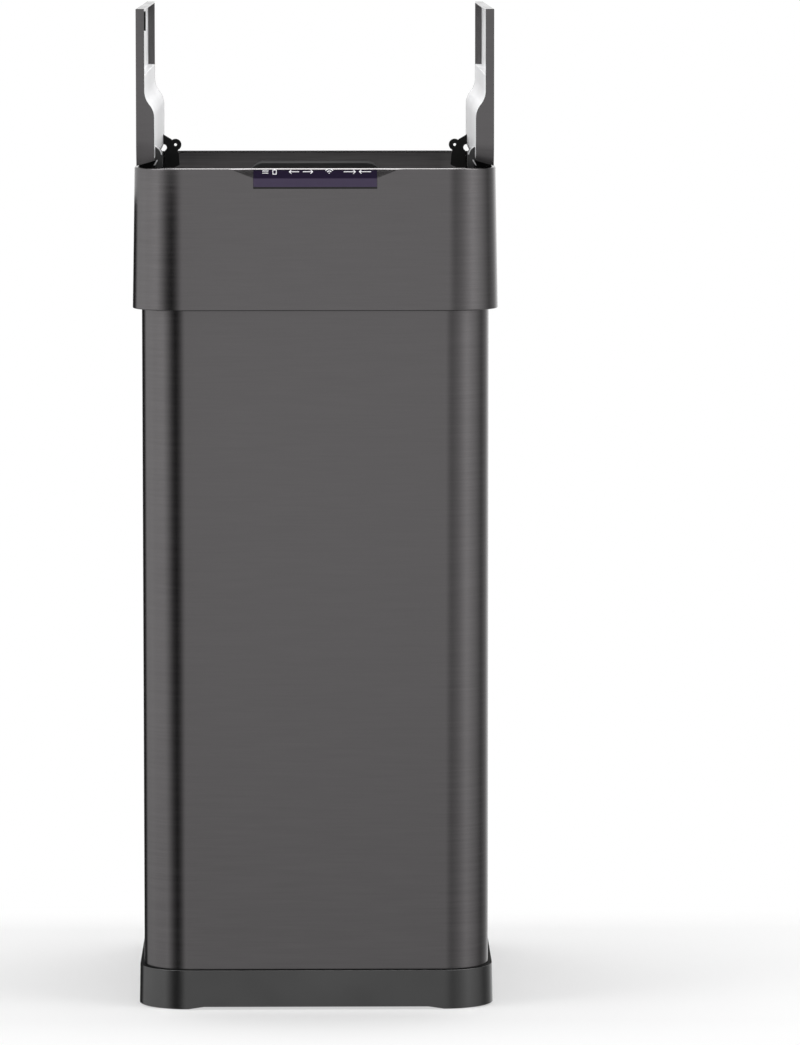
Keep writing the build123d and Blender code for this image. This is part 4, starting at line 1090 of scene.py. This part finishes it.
@dataclass
class WingLid:
    """One wing lid: a skin with skirts whose lower edge steps in an S, and an S-shaped lining.

    The wing is worked out closed and then swung open about its hinge.

    Attributes:
        side: Side that the wing stands on.
        pivot: A point of its hinge axis.
        head: Skin of the head that the wing closes.
    """

    side: Side
    pivot: Sequence[float]
    head: HeadSkin
    rim_gap: float = 1.2 * MM
    gap: float = 1.0 * MM
    sunk: float = 0.4 * MM
    hinge: float = 19.4 * MM
    slant: float = 4.2 * MM
    thin: float = 6.9 * MM
    thick: float = 14.8 * MM
    step_start: float = 38.9 * MM
    step_run: float = 22.0 * MM
    step_columns: int = 40
    corner_steps: int = 16
    sheet: float = 1.2 * MM
    edge: float = 0.5 * MM
    edge_steps: int = 9
    lining_length: float = 73.3 * MM
    lining_sunk: float = 0.1 * MM
    lining_fit: float = 0.2 * MM
    lining_wall: float = 2.0 * MM
    open_angle: float = 90.0

    def __post_init__(self) -> None:
        """Take the closed left wing's heights and outline from the frame."""
        _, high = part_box("head_shell")
        _, wing_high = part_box("left_wing_skin")
        half_width, clear = high.x - self.head.flare, self.head.hem + self.rim_gap
        self.top = high.z - self.sunk
        self.inner_top = self.top - self.sheet
        self.hinge_x = self.hinge - half_width
        self.step_x = self.hinge_x + self.step_start
        self.inner_slant = self.sheet * self.slant / self.thick
        self.corner = self.head.corner - clear
        self.centre_x = self.corner - (half_width - clear)
        self.centre_y = wing_high.y - self.corner

    def depth(self, x: Array) -> Array:
        """Depth of the skirt below the top: two equal arcs between the thin and the thick half.

        Args:
            x: Place along the closed left wing.

        Returns:
            Depth at each place.
        """
        drop, half = self.thick - self.thin, self.step_run / 2
        radius = (self.step_run**2 + drop**2) / (4 * drop)
        run = np.clip(x - self.step_x, 0, self.step_run)
        first = radius - np.sqrt(radius**2 - np.minimum(run, half) ** 2)
        last = radius - np.sqrt(radius**2 - np.minimum(self.step_run - run, half) ** 2)
        return self.thick - np.where(run < half, first, drop - last)

    def outline(self, inset: float, hinge_x: float, free_x: float) -> Array:
        """Plan outline of the closed left wing: straight sides, then arcs cut off at the hinge end.

        Args:
            inset: Distance from the outer outline.
            hinge_x: X of the hinge end.
            free_x: X of the free edge.

        Returns:
            Points from the front's free corner round the hinge end to the rear's free corner.
        """
        corner = self.corner - inset
        stops = np.linspace(self.step_x, self.step_x + self.step_run, self.step_columns)
        straight = np.array([free_x, *stops[stops < free_x][::-1], self.centre_x])
        turn = math.acos(min(1.0, (self.centre_x - hinge_x) / corner))
        angle = np.linspace(math.pi / 2, turn, self.corner_steps)[1:]
        x = np.concatenate([straight, self.centre_x - corner * np.cos(angle)])
        y = self.centre_y + corner * np.concatenate([np.ones(len(straight)), np.sin(angle)])
        return np.vstack([np.stack([x, -y], axis=1), np.stack([x, y], axis=1)[::-1]])

    def placed(self, points: Array) -> Array:
        """Swing a closed left wing open about the hinge and mirror it for the right.

        Args:
            points: Grid of the closed left wing.

        Returns:
            The grid in the open pose.
        """
        turn = math.radians(self.open_angle)
        x = points[..., 0] + abs(self.pivot[0])
        z = points[..., 2] - self.pivot[2]
        opened_x = x * math.cos(turn) - z * math.sin(turn) - abs(self.pivot[0])
        opened_z = x * math.sin(turn) + z * math.cos(turn) + self.pivot[2]
        return np.stack([-self.side * opened_x, points[..., 1], opened_z], axis=-1)

    @staticmethod
    def row(outline: Array, height: Array) -> Array:
        """Row of points from a plan outline and heights."""
        return np.column_stack([outline, np.broadcast_to(height, len(outline))])[None]

    def middle(self, outline: Array, height: Array) -> Array:
        """Row on the wing's middle line under an outline, which closes a plate."""
        return self.row(outline * (1, 0), height)

    def skin_grids(self) -> tuple[Array, Array]:
        """Work out the skin: top with a rounded edge, skirt, and the flat inner top.

        Returns:
            Grid of the outside with both faces of the skirt, and grid of the inner top.
        """
        free = -self.gap
        flat = self.outline(self.edge, self.hinge_x + self.edge, free - self.edge)
        rows = [self.middle(flat, self.top)]
        for angle in np.radians(np.linspace(90, 0, self.edge_steps)):
            inset = self.edge * (1 - math.cos(angle))
            line = self.outline(inset, self.hinge_x + inset, free - inset)
            rows.append(self.row(line, self.top - self.edge * (1 - math.sin(angle))))
        for inset in (0.0, self.sheet):
            line = self.outline(inset, self.hinge_x + self.slant + inset, free - inset)
            rows.append(self.row(line, self.top - self.depth(line[:, 0])))
        hinge_x = self.hinge_x + self.sheet + self.inner_slant
        inner = self.outline(self.sheet, hinge_x, free - self.sheet)
        rows.append(self.row(inner, self.inner_top))
        return np.concatenate(rows), np.concatenate([rows[-1], self.middle(inner, self.inner_top)])

    def lining_grids(self) -> tuple[Array, Array]:
        """Work out the lining: wall, rounded edge and S-shaped face, and its hollow back.

        Returns:
            Grid of the wall and the face, and grid of the back.
        """
        inset = self.sheet + self.lining_fit
        free = self.hinge_x + self.lining_length
        face = self.top + self.lining_sunk
        upper = self.outline(inset, self.hinge_x + inset + self.inner_slant, free)
        rows = [self.row(upper, self.inner_top)]
        for angle in np.radians(np.linspace(0, 90, self.edge_steps)):
            shrink = inset + self.edge * (1 - math.cos(angle))
            lift = self.edge * (1 - math.sin(angle))
            line = self.outline(
                shrink, self.hinge_x + self.slant + shrink, free - (shrink - inset)
            )
            rows.append(self.row(line, face - self.depth(line[:, 0]) + lift))
        rows.append(self.middle(line, face - self.depth(line[:, 0])))
        wall = self.lining_wall
        inner = self.outline(inset + wall, self.hinge_x + self.slant + inset + wall, free - wall)
        under = np.minimum(face - self.depth(inner[:, 0]) + wall, self.inner_top)
        back = [self.middle(inner, under), self.row(inner, under), self.row(inner, self.inner_top)]
        return np.concatenate(rows), np.concatenate(back)

    def build(self, steel: Sequence[Material], lining: Material) -> None:
        """Make the skin and the lining.

        Args:
            steel: Finishes of the skin's outside and inside.
            lining: Finish of the lining.
        """
        name = self.side.label
        outside, inside = self.skin_grids()
        skin = Skin(f"{name}_lid_skin")
        skin.grid(self.placed(outside), close_columns=True)
        skin.grid(self.placed(inside), close_columns=True, paint=1)
        skin.finish(f"{name}_wing", Slot.STEEL, steel, [f"{name}_wing_skin"])
        outer, inner = self.lining_grids()
        tray = Skin(f"{name}_lid_lining")
        for grid in (outer, inner, np.stack([outer[0], inner[-1]])):
            tray.grid(self.placed(grid), close_columns=True)
        tray.finish(f"{name}_wing", Slot.TRAY, [lining], [f"{name}_wing_tray"])


@dataclass
class LugLips:
    """Pale lips on a wing's front hinge lug, whose pale colour is a painted highlight: one along its
    round edge and a short one below it.

    Attributes:
        side: Side that the wing stands on.
    """

    side: Side
    face: float = -136.7 * MM
    centre: Pair = (-133.4 * MM, 701.9 * MM)
    radius: float = 7.7 * MM
    turn: Pair = (82.0, 2.0)
    turn_steps: int = 24
    low_start: Pair = (-129.0 * MM, 698.5 * MM)
    low_end: Pair = (-132.0 * MM, 693.3 * MM)
    low_steps: int = 8
    width: float = 1.1 * MM
    lift: float = 0.3 * MM
    sunk: float = 0.1 * MM
    round_steps: int = 9

    def lip(self, path: Array) -> Array:
        """Carry a half-ellipse along a path on the lug's face, drawn in to a point at both ends.

        Args:
            path: Places across the left lug and heights.

        Returns:
            The lip's points.
        """
        along = np.gradient(path, axis=0)
        along /= np.linalg.norm(along, axis=1, keepdims=True)
        turn = np.linspace(0, math.pi, self.round_steps)[:, None]
        full = np.ones(len(path))
        full[[0, -1]] = 0
        across = self.width / 2 * np.cos(turn) * full
        x = path[:, 0] - across * along[:, 1]
        z = path[:, 1] + across * along[:, 0]
        y = self.face + self.sunk - (self.lift + self.sunk) * np.sin(turn) * full
        return np.stack([-self.side * x, y, z], axis=-1)

    def build(self, material: Material) -> None:
        """Make both lips as one piece.

        Args:
            material: Finish of the lips.
        """
        name = self.side.label
        skin = Skin(f"{name}_lug_lips")
        upper = arc(self.centre, self.radius, *self.turn, self.turn_steps)
        for path in (upper, np.linspace(self.low_start, self.low_end, self.low_steps)):
            skin.grid(self.lip(path), close_rows=True)
        # The pale lining finish paints the highlights along the lug's edges.
        skin.finish(f"{name}_wing", Slot.TRAY, [material])


def seen(sheet: NodeSheet) -> Socket:
    """One for rays from the camera, off metal and through glass, otherwise zero."""
    rays = sheet.add("ShaderNodeLightPath").outputs
    return sheet.largest(*(rays[f"Is {kind} Ray"] for kind in ("Camera", "Glossy", "Transmission")))


class StageSheet(Finish):
    """A sheet of the stage with its own surface, seen only by reflections or by all but them."""

    closed = False
    only_reflected = True

    def points(self) -> Array:
        """Grid of the sheet's points."""
        raise NotImplementedError

    def place(self) -> Piece:
        """Make the sheet.

        Returns:
            The sheet's object.
        """
        grid = self.points()
        mesh = bpy.data.meshes.new(self.name)
        faces = grid_faces(*grid.shape[:2], False, self.closed).reshape(-1, 4)
        mesh.from_pydata(grid.reshape(-1, 3).tolist(), [], faces.tolist())
        mesh.materials.append(self.build())
        card = linked(self.name, mesh)
        card.visible_camera = card.visible_diffuse = not self.only_reflected
        card.visible_shadow = card.visible_transmission = not self.only_reflected
        card.visible_glossy = self.only_reflected
        return card


def rectangle(half: float, near: Pair, far: Pair) -> Array:
    """Grid of a rectangle from half of its width and the Y and Z of two edges."""
    return np.array([[(-half, *edge), (half, *edge)] for edge in (near, far)], float)


@dataclass(frozen=True)
class Floor(StageSheet):
    """Pale floor, seen by all but reflections, that stays near white and keeps the shadow.

    Each pair is where a blend starts and where it ends.
    """

    name: str = "floor"
    half: float = 6.0
    color: Color = (0.86, 0.86, 0.86)
    shadow_share: float = 0.75
    shadow_away: Pair = (0.3, 1.6)
    shadow_back: Pair = (0.16, 0.34)
    shadow_front: Pair = (-0.13, -0.42)
    foot_front: Pair = (-0.172, -0.23)
    foot_side: Pair = (0.125, 0.15)
    foot_share: float = 0.58

    only_reflected = False

    def points(self) -> Array:
        """Square round the bin."""
        return rectangle(self.half, (-self.half, 0.0), (self.half, 0.0))

    def write(self, sheet: NodeSheet) -> None:
        """Blend a white glow into the matt floor, for rays that see it.

        The glow's share is the largest of four: one that grows with the distance, one behind the
        bin, one in front of it, and one in a strip along its foot.

        Args:
            sheet: The material's sheet.
        """
        away = sheet.add("ShaderNodeVectorMath", sheet.place(), operation="LENGTH").outputs["Value"]
        x, y, _ = sheet.axes()
        foot = sheet.fit(y, self.foot_front, (self.foot_share, 0.0))
        within = sheet.fit(sheet.math("ABSOLUTE", x), self.foot_side, (1.0, 0.0))
        share = sheet.largest(
            sheet.fit(away, self.shadow_away, (1.0 - self.shadow_share, 1.0), smooth=True),
            sheet.fit(y, self.shadow_back, smooth=True),
            sheet.fit(y, self.shadow_front, smooth=True),
            sheet.math("MULTIPLY", foot, within),
        )
        matt = sheet.add("ShaderNodeBsdfDiffuse", (*self.color, 1.0)).outputs["BSDF"]
        glow = sheet.add("ShaderNodeEmission", (*WHITE, 1.0)).outputs["Emission"]
        seen_share = sheet.math("MULTIPLY", seen(sheet), share)
        sheet.surface("ShaderNodeMixShader", seen_share, matt, glow)


@dataclass(frozen=True)
class Drum(StageSheet):
    """Upright drum round the bin, evenly lit low down and by direction higher up.

    Levels are pairs of azimuth in degrees, from the front, and brightness there.
    """

    name: str = "reflection_drum"
    radius: float = 3.0
    heights: Pair = (-2.5, 3.2)
    columns: int = 96
    fade: Pair = (-0.65, 0.05)
    fade_level: float = 0.65
    even: Pair = (-1.2, -0.8)
    levels: tuple[Pair, ...] = (
        (-180, 1.2), (-172, 1.1), (-166, 0.75), (-148, 0.7), (-128, 0.85), (-100, 1.25),
        (-62, 1.15), (-49, 1.1), (-36, 1.0), (6, 1.0), (12, 0.72), (20, 0.52), (34, 0.72),
        (58, 1.35), (84, 0.9), (107, 0.32), (130, 0.6), (150, 1.2), (180, 1.2),
    )

    closed = True

    def points(self) -> Array:
        """Upright line turned about the bin."""
        line = np.array([(self.radius, height) for height in self.heights])
        return revolve(line, (0, 0), self.columns)

    def write(self, sheet: NodeSheet) -> None:
        """Brightness by azimuth, blended into white below, times a fade towards the floor.

        Args:
            sheet: The material's sheet.
        """
        x, y, z = sheet.axes()
        azimuth = sheet.math("ARCTAN2", x, sheet.math("MULTIPLY", y, -1.0))
        stops = [((degrees + 180) / 360, (level,) * 3) for degrees, level in self.levels]
        around = sheet.ramp(sheet.fit(azimuth, (-math.pi, math.pi)), stops)
        sheet.surface(
            "ShaderNodeEmission",
            Color=sheet.mix(sheet.fit(z, self.even), (*WHITE, 1.0), around),
            Strength=sheet.fit(z, self.fade, (self.fade_level, 1.0), smooth=True),
        )


@dataclass(frozen=True)
class Card(StageSheet):
    """Flat evenly lit card; near and far are the Y and Z of its edges."""

    name: str
    half: float
    near: Pair
    far: Pair
    level: float

    def points(self) -> Array:
        """The card's corners."""
        return rectangle(self.half, self.near, self.far)

    def write(self, sheet: NodeSheet) -> None:
        """Plain white glow."""
        sheet.surface("ShaderNodeEmission", Color=(*WHITE, 1.0), Strength=self.level)


@dataclass(frozen=True)
class Flag(StageSheet):
    """Narrow upright card near the bin that its rounded left corner reflects as a soft dark band.

    Levels are pairs of azimuth in degrees, from the front, and brightness there.
    """

    name: str
    distance: float
    heights: Pair
    levels: tuple[Pair, ...]
    centre: Pair = (-105.7 * MM, -134.1 * MM)
    radius: float = BODY_CORNER

    def points(self) -> Array:
        """Both edges of the card.

        A front ray that meets the corner at half the azimuth leaves at the azimuth, so each point
        is centre + radius * (sin, -cos) of the half + distance * (sin, -cos) of the whole.

        Returns:
            Grid of points, lower edge first.
        """
        azimuth = np.radians([degrees for degrees, _ in self.levels])
        spot = self.radius * np.stack([np.sin(azimuth / 2), -np.cos(azimuth / 2)], axis=1)
        away = self.distance * np.stack([np.sin(azimuth), -np.cos(azimuth)], axis=1)
        plan = np.array(self.centre) + spot + away
        return np.stack([np.column_stack([plan, np.full(len(plan), z)]) for z in self.heights])

    def write(self, sheet: NodeSheet) -> None:
        """White glow by the level stored at the points."""
        level = sheet.add("ShaderNodeAttribute", attribute_name="level").outputs["Fac"]
        sheet.surface("ShaderNodeEmission", Color=(*WHITE, 1.0), Strength=level)

    def place(self) -> Piece:
        """Make the card and store its levels at the points.

        Returns:
            The card's object.
        """
        card = super().place()
        values = np.tile([level for _, level in self.levels], len(self.heights))
        card.data.attributes.new("level", "FLOAT", "POINT").data.foreach_set("value", values)
        return card


@dataclass(frozen=True)
class Lamp:
    """Soft square lamp with its place, the point that it faces, its side and its power in watts."""

    name: str
    spot: Color
    aim: Color
    size: float
    power: float

    def place(self) -> Piece:
        """Make the lamp and turn its face to its aim.

        Returns:
            The lamp's object.
        """
        data = bpy.data.lights.new(self.name, "AREA")
        data.size = self.size
        data.energy = self.power
        lamp = linked(self.name, data)
        x, y, z = np.array(self.aim, float) - np.array(self.spot, float)
        lamp.location = self.spot
        tilt = math.acos(-z / math.hypot(x, y, z))
        lamp.rotation_euler = (tilt, 0.0, math.atan2(y, x) - math.pi / 2)
        return lamp


STAGE = (
    Floor(),
    Drum(),
    Card("front_canopy", 2.2, (-2.4, 1.9), (-1.8, 3.3), 0.2),
    Card("top_softbox", 2.0, (-0.9, 3.4), (2.4, 3.4), 7.0),
    Card("dark_below", 3.0, (-3.0, -2.5), (3.0, -2.5), 0.15),
    Flag("side_flag", 0.2, (-0.1, 0.66), ((-170, 0.6), (-164, 0.03), (-140, 0.03), (-130, 0.7))),
    Flag(
        "front_flag", 0.3, (-0.12, 0.7),
        ((-60, 1.05), (-50, 0.7), (-37, 0.2), (-27, 0.04), (-18, 0.24), (-10, 0.66), (-4, 0.98)),
    ),
    Lamp("top_lamp", (0, 0.4, 3.2), (0, 0, 0.4), 2.4, 60),
    Lamp("left_lamp", (-2.6, -1.2, 1.6), (0, 0, 0.5), 1.6, 25),
    Lamp("right_lamp", (2.6, -1.2, 1.6), (0, 0, 0.5), 1.6, 25),
)


@dataclass(frozen=True)
class Studio:
    """White surroundings, pale floor, soft lamps and the cards that reflections see."""

    ambient: float = 0.55

    def build(self) -> None:
        """Set up the world, white where it is seen and softer as light, and place the stage."""
        world = bpy.data.worlds.new("studio")
        bpy.context.scene.world = world
        world.use_nodes = True
        sheet = NodeSheet(world.node_tree)
        level = sheet.fit(seen(sheet), (0.0, 1.0), (self.ambient, 1.0))
        background = sheet.add("ShaderNodeBackground", Color=(*WHITE, 1.0), Strength=level)
        sheet.add("ShaderNodeOutputWorld", background.outputs["Background"])
        for item in STAGE:
            item.place()


@dataclass(frozen=True)
class PhotoCamera:
    """Camera at the photograph's place: far off, a little above, turned slightly to the right."""

    spot: Color = (0.0, -5.2, 0.91875)
    pitch: float = 0.10216
    yaw: float = 0.01372
    focal_pixels: float = 6178.7
    frame_pixels: float = 1045.0
    sensor: float = 36.0
    farthest: float = 100.0

    def build(self) -> None:
        """Make the camera and set it."""
        data = bpy.data.cameras.new("photo_camera")
        data.sensor_width = self.sensor
        data.lens = self.focal_pixels / self.frame_pixels * self.sensor
        data.clip_end = self.farthest
        camera = linked("photo_camera", data)
        camera.location = self.spot
        camera.rotation_euler = (math.pi / 2 - self.pitch, 0.0, -self.yaw)
        bpy.context.scene.camera = camera


def dress_nodes(frame: dict, finishes: dict[Slot, Material]) -> None:
    """Give every node of the frame its finish.

    Args:
        frame: The loaded frame.
        finishes: Material of each slot.
    """
    slots = {part["node"]: Slot(part["material_slot"]) for part in frame["record"]["subparts"]}
    for node, piece in frame["nodes"].items():
        material = finishes[slots[node]]
        if not piece.material_slots:
            piece.data.materials.append(material)
        for holder in piece.material_slots:
            holder.material = material


def main() -> None:
    """Dress the frame, build the skins, and set the stage and the camera."""
    logging.basicConfig(level=logging.INFO, format="%(name)s: %(message)s")
    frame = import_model()
    bpy.context.scene.view_settings.view_transform = "Standard"
    finishes = {slot: finish.build() for slot, finish in FINISHES.items()}
    dress_nodes(frame, finishes)
    steel, lining = finishes[Slot.STEEL], finishes[Slot.TRAY]
    BodySleeve().build(steel)
    BaseMoulding().build(finishes[Slot.BASE])
    SealStrip().build(finishes[Slot.RUBBER])
    head = HeadSkin()
    head.build([steel, LIT_INSIDE_STEEL.build()])
    ConsoleSymbols(head).build(SymbolPrint().build())
    joints = {joint["name"]: joint for joint in frame["joints"]}
    for side in Side:
        pivot = joints[f"{side.label}_wing_hinge"]["pos_m"]
        WingLid(side, pivot, head).build([steel, lining], lining)
        LugLips(side).build(lining)
    Studio().build()
    PhotoCamera().build()


if __name__ == "__main__":
    main()
